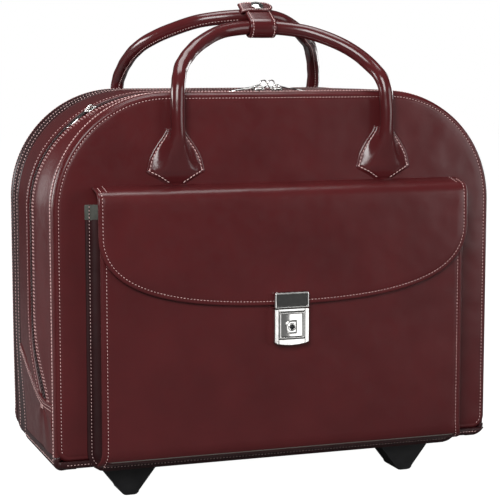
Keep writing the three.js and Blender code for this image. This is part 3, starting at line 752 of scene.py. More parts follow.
def strips():
    s = np.linspace(-RIM_LOW, CASE.end + RIM_LOW, 400)
    hide_band("front_rim", s, [(2.2, -2.6), (2.6, -0.9), (3.6, 0.2), (5.5, 0.95), (8, 1.2), (9.5, 0.85), (11, 1.15),
                               (12.6, 0.75), (13.6, -0.1), (14.1, -1.6)], "front_shell", "leather")
    hide_stitches("rim_stitching", s, 9.5, 1.05, size=(1.3, 0.55, 0.5))
    sew("rim_stitching", "front_shell")

    s = over_top(ZIP_LOW_Z)
    zip_line = zip_y(s)
    strip = [(14.3, -2.4), (14.5, -1.0), (15.2, -0.25), (16.8, 0.0)]
    near = zip_line - GUSSET_GAP
    strip += [(16.8 + (near - 8.4 - 16.8) * k / 6, 0.0) for k in range(1, 7)]
    strip += [(near - 7.0, -0.3), (near - 5.5, 0.1), (near - 4.0, -0.3), (near - 2.6, 0.15), (near - 1.2, 0.2),
              (near - 0.4, -0.15), (near, -1.0), (near, -2.2)]
    hide_band("front_gusset_leather", s, strip, "front_shell", "leather", ["front_gusset"])
    hide_stitches("front_gusset_stitching", s, near - 7.0, -0.05)
    hide_stitches("front_gusset_stitching", s, near - 4.0, -0.05)
    sew("front_gusset_stitching", "front_shell")

    far = zip_line + GUSSET_GAP
    strip = [(far, -2.2), (far, -1.0), (far + 0.4, -0.1), (far + 1.2, 0.25), (far + 2.3, 0.2), (far + 3.6, -0.3),
             (far + 5.0, 0.05)]
    strip += [(far + 5.0 + (SEAM_Y - 4 - far - 5.0) * k / 9, 0.0) for k in range(1, 10)]
    strip += [(SEAM_Y - 1.4, -0.3), (SEAM_Y - 0.4, -1.2), (SEAM_Y - 0.2, -2.4)]
    hide_band("rear_gusset_leather", s, strip, "rear_shell", "leather", ["rear_gusset"])
    hide_stitches("rear_gusset_stitching", s, far + 3.6, -0.05)

    s = np.linspace(-UNDER, CASE.end + UNDER, 420)
    band = [(SEAM_Y + 0.1, -2.4), (SEAM_Y + 0.3, -0.6), (SEAM_Y + 1.4, 0.05), (SEAM_Y + 4, 0.1), (136, -0.3),
            (138, 0.1)]
    band += between(138, 158, 4, 0.1) + [(158, 0.1), (160, -0.3), (162, 0.1)]
    band += between(162, REAR_RIM_Y - 1.5, 2, 0.1) + [(REAR_RIM_Y - 1.2, 0.0), (REAR_RIM_Y - 0.4, -0.8)]
    band += [(REAR_RIM_Y + 0.4, 0.2), (REAR_RIM_Y + 2.5, 0.9), (REAR_RIM_Y + 5, 0.8), (REAR_RIM_Y + 7, 1.1),
             (DEPTH - 4.6, 0.6), (DEPTH - 3.2, -0.4), (DEPTH - 2.6, -2.4)]
    hide_band("rear_gusset_band", s, band, "rear_shell", "leather_dark")
    for y, out in ((136, -0.05), (160, -0.05), (REAR_RIM_Y + 5, 1.0)):
        hide_stitches("rear_gusset_stitching", s, y, out)
    sew("rear_gusset_stitching", "rear_shell")


def side_panel_top(y):
    """Height of the lower side panels' curved top edge."""
    return SIDE_PANEL_TOP - 4 + 38 * smooth((y - 30) / 100)


def puckers(y, z):
    """Creases that fan out below the end of the zip."""
    away_y, away_z = y - ZIP_END_Y, SIDE_PANEL_TOP - 8 - z
    reach = np.hypot(away_y, away_z)
    turn = np.arctan2(away_y, np.maximum(away_z, 0.1))
    depth = 1.25 * np.exp(-reach / 34) * smooth(reach / 9)
    return depth * (np.cos(turn * 6.5 + 0.7) - 0.25) * smooth((away_z + 4) / 12)


def side_panels():
    y = np.concatenate([[RIM_DEPTH + 0.2, RIM_DEPTH + 0.5, RIM_DEPTH + 1.6], np.linspace(17, SEAM_Y - 3, 66),
                        [SEAM_Y - 1.4, SEAM_Y - 0.3]])
    top = side_panel_top(y)
    fractions = np.linspace(0, 1, 34)
    ends = np.array([7.6, 6.2, 4.6, 3.1, 1.6, 0.8, 0.2])  # rows near the top edge, by distance below it
    rise = np.array([0.0, -0.28, 0.08, -0.28, 0.05, -0.2, -1.0])
    low = BINDING_TOP - 2
    z = np.vstack([low + (top - 9 - low) * f for f in fractions] + [top - e for e in ends] + [top])
    out = np.vstack([np.zeros((34, len(y)))] + [np.full(len(y), r) for r in rise] + [np.full(len(y), -2.0)])
    side = np.full(len(y), 0.0)
    side[[0, 1, -2, -1]] = (-2.0, -0.7, -0.3, -1.4)
    out = out + 0.95 + side + puckers(np.broadcast_to(y, z.shape), z) * (z < top - 8.5)
    for name, mirror in (("left", False), ("right", True)):
        s = z - BOTTOM_RADIUS
        s = CASE.end - s if mirror else s
        depth = np.broadcast_to(y, s.shape)
        make("side_panel_%s_leather" % name, *slab(hide(s, depth, out), hide(s, depth, out - WALL)), "rear_shell",
             "leather", ["side_panel_" + name])
        row = "side_panel_%s_stitching" % name
        for below in (3.1, 6.2):
            at = top[2:-1] - below - BOTTOM_RADIUS
            hide_stitches(row, CASE.end - at if mirror else at, y[2:-1], 0.95)
        bar = np.linspace(-4, 4, 9)
        for k in range(5):  # bar tack over the end of the zip
            at = SIDE_PANEL_TOP - 12 + k * 0.8 - BOTTOM_RADIUS + bar * 0
            hide_stitches(row, CASE.end - at if mirror else at, ZIP_END_Y + bar, 1.5, pitch=2.7)
        sew(row, "rear_shell")


def bottom():
    s = np.linspace(-UNDER, BINDING_TOP - BOTTOM_RADIUS, 26)
    rows = [(2.0, -2.4), (2.3, -0.6), (3.4, 0.6)] + between(3.4, SEAM_Y, 40, 0.9) + [(SEAM_Y + 0.6, 0.8)]
    for name, mirror in (("left", False), ("right", True)):
        y = np.stack([np.full(s.shape, r[0]) for r in rows], -1)
        out = np.stack([np.full(s.shape, r[1]) for r in rows], -1)
        out[-1] -= 1.6
        out[-2] -= 0.3
        grid = CASE.end - s if mirror else s
        make("binding_" + name, *slab(hide(grid[:, None], y, out + 0.5), hide(grid[:, None], y, out - 1.2)),
             "rear_shell", "leather_dark")
        depth = np.linspace(6, SEAM_Y - 2, 60)
        at = np.full(60, BINDING_TOP - 5.0 - BOTTOM_RADIUS)
        hide_stitches("binding_stitching", CASE.end - at if mirror else at, depth, 1.5)
    # the base, and the strip it turns up under the front panel
    half = HALF - BOTTOM_RADIUS + 1
    x = np.linspace(-half, half, 60)
    y = np.concatenate([[3], np.linspace(6, DEPTH - REAR_ROUND, 30), np.linspace(DEPTH - REAR_ROUND, DEPTH - 3, 16)[1:]])
    grid = np.stack(np.meshgrid(x, y, indexing="ij") + [np.full((60, len(y)), 0.4)], -1)
    make("base_leather", *slab(rear_round(grid), rear_round(grid + [0, 0, 1.8])), "rear_shell", "leather_dark",
         ["base_panel"])
    section = [(6.0, -0.3), (2.6, -0.3), (0.6, 0.1), (-0.7, 1.2), (-1.15, 3.0), (-1.1, 5.4), (-0.5, 6.6), (0.8, 6.9)]
    x = np.linspace(-HALF + 0.8, HALF - 0.8, 160)
    over = np.clip((np.abs(x) - HALF + BOTTOM_RADIUS) / BOTTOM_RADIUS, 0, 1)
    floor = BOTTOM_RADIUS * (1 - np.sqrt(1 - over**2)) * np.where(x < 0, 0.35, 1)
    outer = np.stack([np.stack([x, np.full_like(x, sy), np.minimum(floor + sz * (1 - floor / 6.9), 6.9)], -1)
                      for sy, sz in section], 1)
    inner = outer + [0, 1.3, 0.2]
    make("base_strip", *slab(outer, inner), "rear_shell", "leather_dark")
    x = np.linspace(-HALF + 8, HALF - 8, 200)
    stitches("binding_stitching", np.stack([x, np.full_like(x, -1.2), np.full_like(x, 3.6)], -1), (0, -1, 0))
    sew("binding_stitching", "rear_shell")


def zips():
    s = over_top(ZIP_LOW_Z + 1, 2.0)
    zip_line = zip_y(s)
    for name, body, side in (("front", "front_shell", -1), ("rear", "rear_shell", 1)):
        rows = [(zip_line + side * 12, -2.5), (zip_line + side * 5, -1.9), (zip_line + side * 1.7, -1.5),
                (zip_line + side * 0.9, -1.7)]
        hide_band(name + "_zip_tape", s, rows, body, "zip_tape", [name + "_zip_chain"], 0.5)
        count = int((s[-1] - s[0]) / 2.9)
        at = np.linspace(s[0] + 2, s[-1] - 2, count) + (0.72 if side > 0 else -0.72)
        middle = zip_y(at)
        lows = np.array([[-0.85, 0.1], [0.85, 0.1], [0.85, 2.9], [-0.85, 2.9]])
        corners = []
        for out, pinch in ((-1.7, 1.0), (-0.75, 1.0), (-0.35, 0.72)):
            for along, across in lows:
                across = 1.5 + (across - 1.5) * pinch
                corners.append(hide(at + along * pinch, middle + side * (across - 0.55), out))
        points = np.stack(corners, 1)
        cell = np.array([(3, 2, 1, 0), (8, 9, 10, 11)] + [(a, (a + 1) % 4, (a + 1) % 4 + 4, a + 4) for a in range(4)]
                        + [(a + 4, (a + 1) % 4 + 4, (a + 1) % 4 + 8, a + 8) for a in range(4)])
        faces = (cell[None] + (np.arange(count) * 12)[:, None, None]).reshape(-1, 4)
        make(name + "_zip_teeth", points, faces, body, "coil")


panels()
strips()
side_panels()
bottom()
zips()


# ---------- the front pocket ----------
POCKET_HALF = POCKET_HIGH[0]
POCKET_Y = POCKET_LOW[1] + 0.4
POCKET_ROUND = 13.0  # the pocket's leather turns under the case with this radius
POCKET_TURN = math.radians(82)


def pocket_place(a, b, height):
    """The pocket front's pattern: b is the height, and goes on round under the bottom."""
    bend = POCKET_LOW[2] + POCKET_ROUND
    swell = 0.7 * np.clip(1 - (a / POCKET_HALF) ** 4, 0, 1) * np.clip((b - 10) / 60, 0, 1) * np.clip((150 - b) / 60, 0, 1)
    turn = np.clip((bend - b) / POCKET_ROUND, 0, POCKET_TURN)
    y = POCKET_Y - height - swell
    z = np.maximum(b, bend)
    reach = POCKET_ROUND + height
    y = np.where(b < bend, POCKET_Y + POCKET_ROUND - reach * np.cos(turn), y)
    z = np.where(b < bend, bend - reach * np.sin(turn), z)
    flare = 3.2 * smooth((bend + 4 - b) / 22) * np.clip(a / POCKET_HALF, -1, 1)
    return np.stack([a + flare, y, z], -1)


def pocket():
    low = POCKET_LOW[2] + POCKET_ROUND * (1 - POCKET_TURN)
    outline = Outline(POCKET_HALF, low, POCKET_HIGH[2] - 2, 2, 4, 0.5)
    s, edge, normal = outline.ring(2.4)
    profile = ((0, -1.6), (0.3, -0.8), (0.9, -0.2), (2, 0.12), (3.6, 0.15), (5.2, -0.2), (6.6, 0.15), (9, 0.2))
    make("pocket_front_leather", *sheet(edge, normal, profile, pocket_place, 1.7, 5), "front_shell", "leather",
         ["pocket_front"])
    b = np.arange(low + 4, POCKET_HIGH[2] - 8, 1.0)[::-1]
    for side in (-1, 1):
        path = pocket_place(side * (POCKET_HALF - 5.2) + 0 * b, b, 0.0)
        out = pocket_place(side * (POCKET_HALF - 5.2) + 0 * b, b, 1.0) - path
        stitches("pocket_stitching", path, out)
    # the gusset: a folded wall from the pocket's front back to a flange sewn on the panel
    bottom = 4.2
    corner = 9.0
    path = [(-POCKET_HALF, z) for z in np.linspace(POCKET_HIGH[2] - 9, bottom + corner, 60)]
    path += [(-POCKET_HALF + corner - corner * math.cos(a), bottom + corner - corner * math.sin(a))
             for a in np.linspace(0, math.pi / 2, 9)[1:]]
    path = np.array(path + [(-x, z) for x, z in path[::-1]])
    path = resample(path, 3.0)
    out = -outline_normals(path)
    out[0], out[-1] = (-1, 0), (1, 0)
    section = np.array([(-1.6, -19.3), (-1.9, -17.0), (-3.4, -13.5), (-5.0, -10.0), (-4.2, -6.5), (-1.6, -3.6),
                        (1.2, -2.35), (3.4, -2.0), (5.0, -2.2), (7.2, -2.05), (8.4, -1.6), (8.8, -0.6)])
    across = np.gradient(section, axis=0)
    across /= np.linalg.norm(across, axis=1)[:, None]
    back = section + 1.3 * np.stack([-across[:, 1], across[:, 0]], -1)
    grids = []
    for rows in (section, back):
        grid = path[:, None] + out[:, None] * rows[None, :, :1]
        grids.append(np.insert(grid, 1, np.broadcast_to(rows[:, 1], grid.shape[:2]), axis=2))
    make("pocket_gusset_leather", *slab(*grids), "front_shell", "leather_dark", ["pocket_gusset"])
    sewn = path + out * 5.0
    stitches("pocket_stitching", np.insert(sewn, 1, -2.3, axis=1), (0, -1, 0))
    sew("pocket_stitching", "front_shell")
    # a bound lining edge over each end of the gusset
    for side, name in ((-1, "left"), (1, "right")):
        top = POCKET_HIGH[2] - 9
        grid = [[(side * (POCKET_HALF + o - 0.3), y, z) for y, o in zip(*section.T[::-1])]
                for z in (top - 13, top - 12.6, top - 4, top - 0.4, top + 0.5)]
        swell = np.array([-0.6, 0.35, 0.4, 0.35, -0.2])
        outer = np.array(grid)
        outer[..., 0] += side * (swell[:, None] + 0.2)
        make("pocket_binding_" + name, *slab(outer, outer - [side * 2.0, 0, 0.2]), "front_shell", "lining")


# ---------- the flap ----------
FLAP_HALF = FLAP_HIGH[0]
RIDGE_Z = FLAP_HIGH[2]
HINGE_Y, HINGE_Z = -23.0, 245.0
FLAP_SECTION = spline([(-0.9, 5.6), (-3.2, 4.7), (-8, 3.7), (-14, 2.5), (-18.2, 1.3), (-21.6, -0.9), (-24.0, -4.6),
                       (-25.2, -10), (-25.9, -20), (-26.3, -42), (-26.1, -74), (-25.4, -104.4)], 400) + [0, RIDGE_Z]
FLAP_LENGTH, _ = walk(FLAP_SECTION)
FLAP_TANGENT = np.gradient(FLAP_SECTION, axis=0)
FLAP_TANGENT /= np.linalg.norm(FLAP_TANGENT, axis=1)[:, None]


def flap_place(a, b, height):
    """The flap's pattern: b counts down from 0 at the seam on the panel."""
    t = -np.asarray(b, float)
    y, z, ty, tz = (np.interp(t, FLAP_LENGTH, v) for v in (*FLAP_SECTION.T, *FLAP_TANGENT.T))
    edge = np.clip(np.abs(a) / FLAP_HALF, 0, 1)
    relax = 0.9 * edge**4 * smooth((t - 20) / 30)  # the flap lies closer to the pocket towards its sides
    return np.stack([a, y + tz * height + relax, z - ty * height], -1)


def flap_outline():
    """The flap's edge in its pattern, clockwise from the lowest point of its left side."""
    drop = np.interp(-FLAP_SECTION[-1, 1], -FLAP_SECTION[:, 1], FLAP_LENGTH)
    side_b = -(drop - (FLAP_SIDE_Z - FLAP_LOW[2]))
    low_b = -drop
    corner = 1.5
    points = [(-FLAP_HALF, side_b), (-FLAP_HALF, -corner), (-FLAP_HALF + corner, 0.0), (FLAP_HALF - corner, 0.0),
              (FLAP_HALF, -corner), (FLAP_HALF, side_b)]
    ends = [np.array(p) for p in ((FLAP_HALF, side_b), (FLAP_HALF, low_b + 16), (FLAP_HALF * 0.62, low_b),
                                  (0, low_b))]
    t = np.linspace(0, 1, 80)[1:, None]
    curve = (1 - t) ** 3 * ends[0] + 3 * (1 - t) ** 2 * t * ends[1] + 3 * (1 - t) * t**2 * ends[2] + t**3 * ends[3]
    points += [tuple(p) for p in curve] + [(-p[0], p[1]) for p in curve[-2::-1]]
    return resample(points[:-1], 2.2, closed=True)


FLAP_SIDE_Z = 209.0


def flap():
    edge = flap_outline()
    normal = outline_normals(edge)
    profile = ((0, -1.5), (0.25, -0.7), (0.8, -0.12), (1.7, 0.12), (2.8, 0.12), (3.9, -0.25), (5.0, 0.12), (7, 0.3),
               (11, 0.35))
    flap_sheet = make("flap_leather", *sheet(edge, normal, profile, flap_place, 1.5, 2.6), None, "leather",
                      ["pocket_flap", "flap_top_strip"])
    inside = edge - normal * 3
    lining = make("flap_lining", *sheet(inside, normal, ((0, -2.1), (0.4, -1.55), (1.5, -1.45)), flap_place, 2.2,
                                        3.5), None, "lining")
    keep = edge - normal * 3.9
    row = np.arange(len(edge))
    shown = keep[:, 1] < -4.5
    start = row[shown & ~np.roll(shown, 1)][0]
    order = np.roll(row, -start)
    order = order[shown[order]]
    path = flap_place(keep[order, 0], keep[order, 1], -0.05)
    out = flap_place(keep[order, 0], keep[order, 1], 1.0) - path
    stitches("flap_stitching", path, out)
    # two short rows where the ends of the top strip are sewn down
    for side in (-1, 1):
        b = np.linspace(-1.5, -19, 12)
        path = flap_place(side * (FLAP_HALF - 9.0) + 0 * b, b, 0.3)
        stitches("flap_stitching", path, flap_place(side * (FLAP_HALF - 9.0) + 0 * b, b, 1.3) - path)
    thread = sew("flap_stitching", None)
    for obj in (flap_sheet, lining, thread):
        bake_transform(obj)


# ---------- the lock ----------
def plaque(outline, y, rim, drop, thickness, spacing=0.7, lean=0.0, round_off=0.0):
    """A metal plate facing forwards, with a raised rim round a lower field. The field leans back by
    lean per millimetre of height, and falls away by round_off towards its left and right."""
    s, edge, normal = outline.ring(spacing)
    middle = (edge.max(0) + edge.min(0)) / 2
    half = (edge.max(0) - edge.min(0)) / 2
    profile = ((0, -1.0), (0.02, -0.75), (0.2, -0.25), (0.5, -0.04), (0.75, 0), (rim - 0.15, 0), (rim, -0.08),
               (rim + 0.12, -0.3), (rim + 0.25, -drop + 0.12), (rim + 0.42, -drop), (rim + 0.6, -drop))

    def place(a, b, height):
        field = smooth((-0.1 - height) / (drop - 0.1)) * (np.abs(a - middle[0]) < half[0] - rim + 0.1)
        field *= np.abs(b - middle[1]) < half[1] - rim + 0.1
        height = height - field * (lean * (b - middle[1]) + round_off * ((a - middle[0]) / half[0]) ** 2)
        return np.stack([a, y - height, b], -1)

    return sheet(edge, normal, profile, place, thickness, 1.6)


class Shape:
    """A closed outline from points, with the same ring() as Outline."""

    def __init__(self, points):
        self.points = np.asarray(points, float)

    def ring(self, spacing):
        edge = resample(self.points, spacing, closed=True)
        return None, edge, outline_normals(edge)


def keyhole(angle):
    """Radius of a keyhole at each angle: a round hole over a slot."""
    across = np.maximum(np.abs(np.cos(angle)), 0.05)
    slot = np.minimum(1.25 / across, 3.1)
    return np.where(np.sin(angle) < 0, np.maximum(2.2, slot), 2.2)


def lock():
    half = LOCK_HIGH[0]
    low, top = LOCK_LOW[2], LOCK_HIGH[2]
    face = -29.6
    back = LOCK_HIGH[1]
    parts = []
    rail = 3.9
    for side in (-1, 1):
        x0, x1 = sorted((side * half, side * (half - rail)))
        sag = 2.2
        corners = [(x0, low + sag * (side < 0) + 0.4), (x0, top - 0.3), (x1, top - 0.3), (x1, low + sag * (side > 0))]
        parts.append(prism(corners, face + 0.2, back))
    x = np.linspace(-half + rail, half - rail, 15)
    arc = [(v, low - 0.6 + 2.4 * (v / half) ** 2) for v in x]
    parts.append(prism([(v, w) for v, w in arc[::-1]] + [(-half + rail, low + 5.1), (half - rail, low + 5.1)][::1],
                       face + 0.1, back))
    parts.append(prism([(-half + rail, top - 2.8), (-half + rail, top - 0.3), (half - rail, top - 0.3),
                        (half - rail, top - 2.8)], face + 0.5, back))
    parts.append(prism([(-half + 1, low + 3), (-half + 1, top - 1), (half - 1, top - 1), (half - 1, low + 3)],
                       -25.3, back))
    soften(make("lock_case", *merged(parts), "front_shell", "nickel", ["lock_body"], flat=True), 0.5, 3, 30)
    # the plate that is pressed to open the lock
    plate_half = half - rail - 0.3
    plate = Outline(plate_half, low + 5.4, top - 3.1, 0.6, 0.6, 0.2)
    make("lock_plate", *plaque(plate, -29.9, 1.7, 0.9, 2.6, lean=0.02, round_off=0.5), "lock_button", "nickel", ["lock_button"])
    plug_z = LOCK_LOW[2] + 16.0
    d_shape = [(5.0, plug_z - 6.2), (-1.0, plug_z - 6.2)]
    d_shape += [(-1.0 - 5.2 * math.sin(a), plug_z - 6.2 * math.cos(a)) for a in np.linspace(0.2, math.pi - 0.2, 9)]
    d_shape += [(-1.0, plug_z + 6.2), (5.0, plug_z + 6.2)]
    make("lock_escutcheon", *plaque(Shape(d_shape), -30.1, 1.0, 0.5, 1.6, 0.4), "lock_button", "nickel")
    angle = np.linspace(0, 2 * math.pi, 72, endpoint=False)[::-1]
    rings = []
    for radius, y in ((3.7, -28.0), (3.75, -29.6), (3.6, -29.9), (3.3, -30.0)):
        rings.append((np.full(72, radius), y))
    hole = keyhole(angle)
    rings += [(hole + 0.15, -30.0), (hole, -29.9), (hole, -29.6)]
    points = [np.stack([r * np.cos(angle), np.full(72, y), plug_z + r * np.sin(angle)], -1) for r, y in rings]
    points = np.concatenate(points + [[(0, -29.6, plug_z)], [(0, -28.0, plug_z)]])
    faces = quads(len(rings), 72, wrap=True)
    ring = np.arange(72)
    end = (len(rings) - 1) * 72
    faces += [(len(points) - 2, a + end, b + end) for a, b in zip(ring, np.roll(ring, -1))]
    faces += [(len(points) - 1, b, a) for a, b in zip(ring, np.roll(ring, -1))]
    make("key_plug_face", points, faces, "key_plug", "nickel", ["key_plug"])
    # the keyhole's dark inside: a thin black disc just inside the shallow hole, painted shade standing in for the depth
    # of the keyway
    rim = [hole * 0.97 * np.cos(angle), np.full(72, -29.78), plug_z + hole * 0.97 * np.sin(angle)]
    hollow = np.concatenate([np.stack(rim, -1), [(0, -29.78, plug_z)]])
    floor = [(72, a, b) for a, b in zip(ring, np.roll(ring, -1))]
    back_ring = hollow + [0, 0.08, 0]
    floor += [(145, b + 73, a + 73) for a, b in zip(ring, np.roll(ring, -1))]
    floor += [(a, a + 73, b + 73, b) for a, b in zip(ring, np.roll(ring, -1))]
    make("keyhole_painted_shade", np.concatenate([hollow, back_ring]), floor, "key_plug", "black_plastic")
    # the strike plate on the flap
    strike = Outline(half, STRIKE_LOW[2], STRIKE_HIGH[2], 2.2, 0.5, 0.2)
    make("strike_plate_face", *plaque(strike, -29.9, 1.5, 1.5, 5.0, lean=0.11), "flap", "nickel", ["lock_strike_plate"])


pocket()
flap()
lock()


# ---------- handles ----------
HANDLE_X = (TAB_LOW[0] + TAB_HIGH[0]) / 2
HINGE_UP = 296.0  # height of the handles' pivots
TUBE_BEND = 24  # sides of a handle's tube
FRONT_MIDDLE = np.array([0, 53.0, 389.0])
REAR_MIDDLE = np.array([0, 70.0, 400.0])


def flared(path, base_y, side):
    """Radius of a handle's tube: round, but spreading flat where its leather opens into the tab."""
    path = np.asarray(path)
    low = np.clip((HINGE_UP + 6 - path[:, 2]) / 40, 0, 1)
    low = np.where(np.abs(path[:, 1] - base_y) < 14, low, 0)
    wide = TUBE + 10.5 * low**1.7
    deep = TUBE - 0.4 * low

    def radius(i, angle):
        i = np.broadcast_to(i, np.broadcast(i, angle).shape)
        wave = 0.07 * np.sin(path[i, 0] * 0.19 + path[i, 2] * 0.13 + 2.0 * np.sin(angle)) * (1 - low[i])
        knuckle = 0.16 * np.exp(-((path[i, 2] - 352) / 22) ** 2) * (1 - low[i])
        fold = knuckle * np.sin(path[i, 2] * 0.5 + path[i, 0] * 0.2 + 1.2 * np.cos(angle))
        body = 1 / np.sqrt((np.cos(angle) / deep[i]) ** 2 + (np.sin(angle) / wide[i]) ** 2)
        return body + wave + fold

    return radius


def handle(name, half, base_y, side, facing, hides, other=None):
    """A rolled leather handle: half its centre line, from the right tab up to the middle, mirrored in
    x unless the left half is given as well, as if it were on the right."""
    half = np.array(half, float)
    left = half if other is None else np.array(other, float)
    points = np.vstack([half, (left[:-1] * [-1, 1, 1])[::-1]])
    path = spline(points, 330)
    radius = flared(path, base_y, side)
    mesh_points, faces, (tangent, ups, across) = sweep(path, radius, TUBE_BEND)
    tube = make(name, mesh_points, faces, None, "handle_leather", hides)
    # the seam, a row of stitches along the side away from the hand
    facing = np.array(facing, float)
    out = facing - tangent * (tangent @ facing)[:, None]
    out /= np.linalg.norm(out, axis=1)[:, None]
    free = (path[:, 2] > HINGE_UP + 4) & (np.abs(path[:, 0]) > 15)
    for part in (free & (path[:, 0] > 0), free & (path[:, 0] < 0)):
        stitches(name + "_seam", path[part] + out[part] * (TUBE + 0.05), out[part], 2.9, lean=0.05)
    thread = sew(name + "_seam", None)
    for obj in (tube, thread):
        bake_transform(obj)


def tab(name, x, y, side, body, hides):
    """Kite-shaped leather patch stitched over the end of a handle; side -1 faces forwards."""
    half = (TAB_HIGH[0] - TAB_LOW[0]) / 2
    top = HINGE_UP + 3.5
    tip = TAB_LOW[2] - 1.5
    shoulder = 261.5
    right = [(9.0, top), (12.5, top - 6), (19.0, top - 15), (24.5, top - 25), (half - 0.8, shoulder + 3),
             (half, shoulder), (half - 2.2, shoulder - 2.2), (16.5, 254.5), (6.0, tip)]
    points = np.array([(x + side * a, b) for a, b in right] + [(x - side * a, b) for a, b in right[::-1]])
    curve = spline(np.vstack([points[:5]]), 30)
    outline = np.vstack([curve, points[5:13], spline(points[13:], 30)])
    edge = resample(outline, 1.3, closed=True)
    normal = outline_normals(edge)
    if np.sum(normal * (edge - edge.mean(0))) < 0:
        edge = edge[::-1]
        normal = outline_normals(edge)
    profile = ((0, -2.2), (0.25, -1.2), (0.8, -0.4), (1.6, 0.0), (2.6, 0.05), (3.4, -0.3), (4.3, 0.05), (5.2, 0.2))
    reach = np.array(sorted((b, a) for a, b in right))

    def place(a, b, height):
        """The patch rises over the end of the handle, which spreads and sinks towards its tip."""
        border = smooth((np.interp(b, *reach.T) - np.abs(a - x) - 3.6) / 3.4)
        wide = 1.3 + TUBE + 13.0 * np.clip((HINGE_UP + 6 - b) / 40, 0, 1) ** 1.5
        core = np.interp(b, (247, 252, 257, 263, 273, 281, 285, 290, 300),
                         (0.4, 1.8, 3.7, 5.7, 7.6, 9.4, 10.1, 10.5, 9.0))
        bump = core * np.exp(-1.2 * ((a - x) / wide) ** 4) * border * (height > -1)
        return np.stack([a, y + side * (2.6 + height + bump), b], -1)

    make(name, *sheet(edge, normal, profile, place, 1.2, 1.5), body, "handle_leather", hides)
    inner = edge - normal * 3.4
    rows = np.arange(len(inner))
    gap = (inner[:, 1] > top - 4) | (inner[:, 1] < tip + 3.6)
    shown = ~gap
    starts = rows[shown & ~np.roll(shown, 1)]
    for start in starts:
        order = np.roll(rows, -start)
        stop = int(np.argmin(shown[order])) if not shown[order].all() else len(order)
        run = order[:stop]
        path = place(inner[run, 0], inner[run, 1], -0.1)
        stitches(name + "_stitching", path, (0, side, 0), 3.3, (1.25, 0.48, 0.45))
    sew(name + "_stitching", body)


def handles():
    h = HANDLE_X
    front = [(h, -2.2, 263), (h, -4.2, 273), (h, -7.0, 284), (h, -9, 296), (h, -9, 318), (h - 2, -5, 340),
             (h - 11, 10, 357), (70, 25, 373), (42, 44, 385), (13, 53, 389), (0, 53, 389)]
    rear = [(h, DEPTH + 2.2, 263), (h, DEPTH + 4.2, 273), (h, DEPTH + 7, 284), (h, DEPTH + 9, 296),
            (h, DEPTH + 12, 318), (h - 0.5, DEPTH + 5, 342), (h - 3, 148, 366), (h - 16, 115, 381), (52, 84, 395),
            (13, 70, 400), (0, 70, 400)]
    slack = [*rear[:2], (h + 1, DEPTH + 7, 284), (h + 4, DEPTH + 9, 298), (h + 7, DEPTH + 12, 318),
             (h + 8, DEPTH + 7, 336), (h + 5, DEPTH - 1, 350), (h - 1, 175, 363), (h - 9, 160, 372),
             (h - 20, 138, 377), (66, 110, 380), (50, 88, 387), (30, 74, 396), (13, 70, 400), (0, 70, 400)]
    handle("front_handle_leather", front, -9, -1, (0, 0.8, -1), ["front_handle_tube"])
    handle("rear_handle_leather", slack, DEPTH + 9, 1, (0, -1.0, -0.55),
           ["rear_handle_tube"], rear)
    for name, x in (("left", -h), ("right", h)):
        tab("front_tab_leather_" + name, x, 0.0, -1, "front_shell", ["front_tab_" + name])
        tab("rear_tab_leather_" + name, x, DEPTH, 1, "rear_shell", ["rear_tab_" + name])


def belt(name, centre, start, split, body, hides):
    """Half of the strap round both handles, in section round one tube and straight to the split."""
    inner = TUBE + 0.9
    tilt = math.atan2(REAR_MIDDLE[2] - FRONT_MIDDLE[2], REAR_MIDDLE[1] - FRONT_MIDDLE[1])
    angle = np.linspace(start, start + math.pi, 40) + tilt
    arc = np.stack([centre[1] + inner * np.cos(angle), centre[2] + inner * np.sin(angle)], -1)
    ends = []
    for point in (arc[0], arc[-1]):
        run = (split - point[0]) / math.cos(tilt)
        steps = np.linspace(1, 0.04, 8)[:, None]
        ends.append(point + steps * np.array([run * math.cos(tilt), run * math.sin(tilt)]))
    path = np.vstack([ends[0], arc, ends[1][::-1]])
    tangent = np.gradient(path, axis=0)
    tangent /= np.linalg.norm(tangent, axis=1)[:, None]
    out = np.stack([tangent[:, 1], -tangent[:, 0]], -1)
    half = STRAP_HALF
    x = np.array([-half, -half + 0.15, -half + 0.6, -half + 1.6, -half + 2.7, -half + 3.8, -half + 6])
    lift = np.array([0.3, 1.2, 1.75, 2.0, 1.72, 2.0, 2.1])
    x = np.concatenate([x, [0], -x[::-1]])
    lift = np.concatenate([lift, [2.15], lift[::-1]])
    outer = np.empty((len(path), len(x), 3))
    outer[..., 0] = x
    outer[..., 1:] = path[:, None] + out[:, None] * lift[None, :, None]
    under = outer.copy()
    under[..., 1:] = path[:, None] + out[:, None] * 0.05
    make(name, *slab(outer, under), body, "handle_leather", hides)
    for side in (-1, 1):
        line = np.insert(path + out * 1.8, 0, side * (half - 2.7), axis=1)
        stitches(name + "_stitching", line, np.insert(out, 0, 0, axis=1), 2.6, (1.0, 0.4, 0.4))
    sew(name + "_stitching", body)
    return tilt


STRAP_HALF = 13.0


def placed(points, origin, axis, up=(0, 0, 1)):
    """Moves points made about the x axis so that x runs along axis from origin."""
    axis = np.array(axis, float) / np.linalg.norm(axis)
    side = np.cross(up, axis)
    if np.linalg.norm(side) < 1e-6:
        side = np.array([0, 1.0, 0])
    side /= np.linalg.norm(side)
    third = np.cross(axis, side)
    return origin + points @ np.stack([axis, side, third])


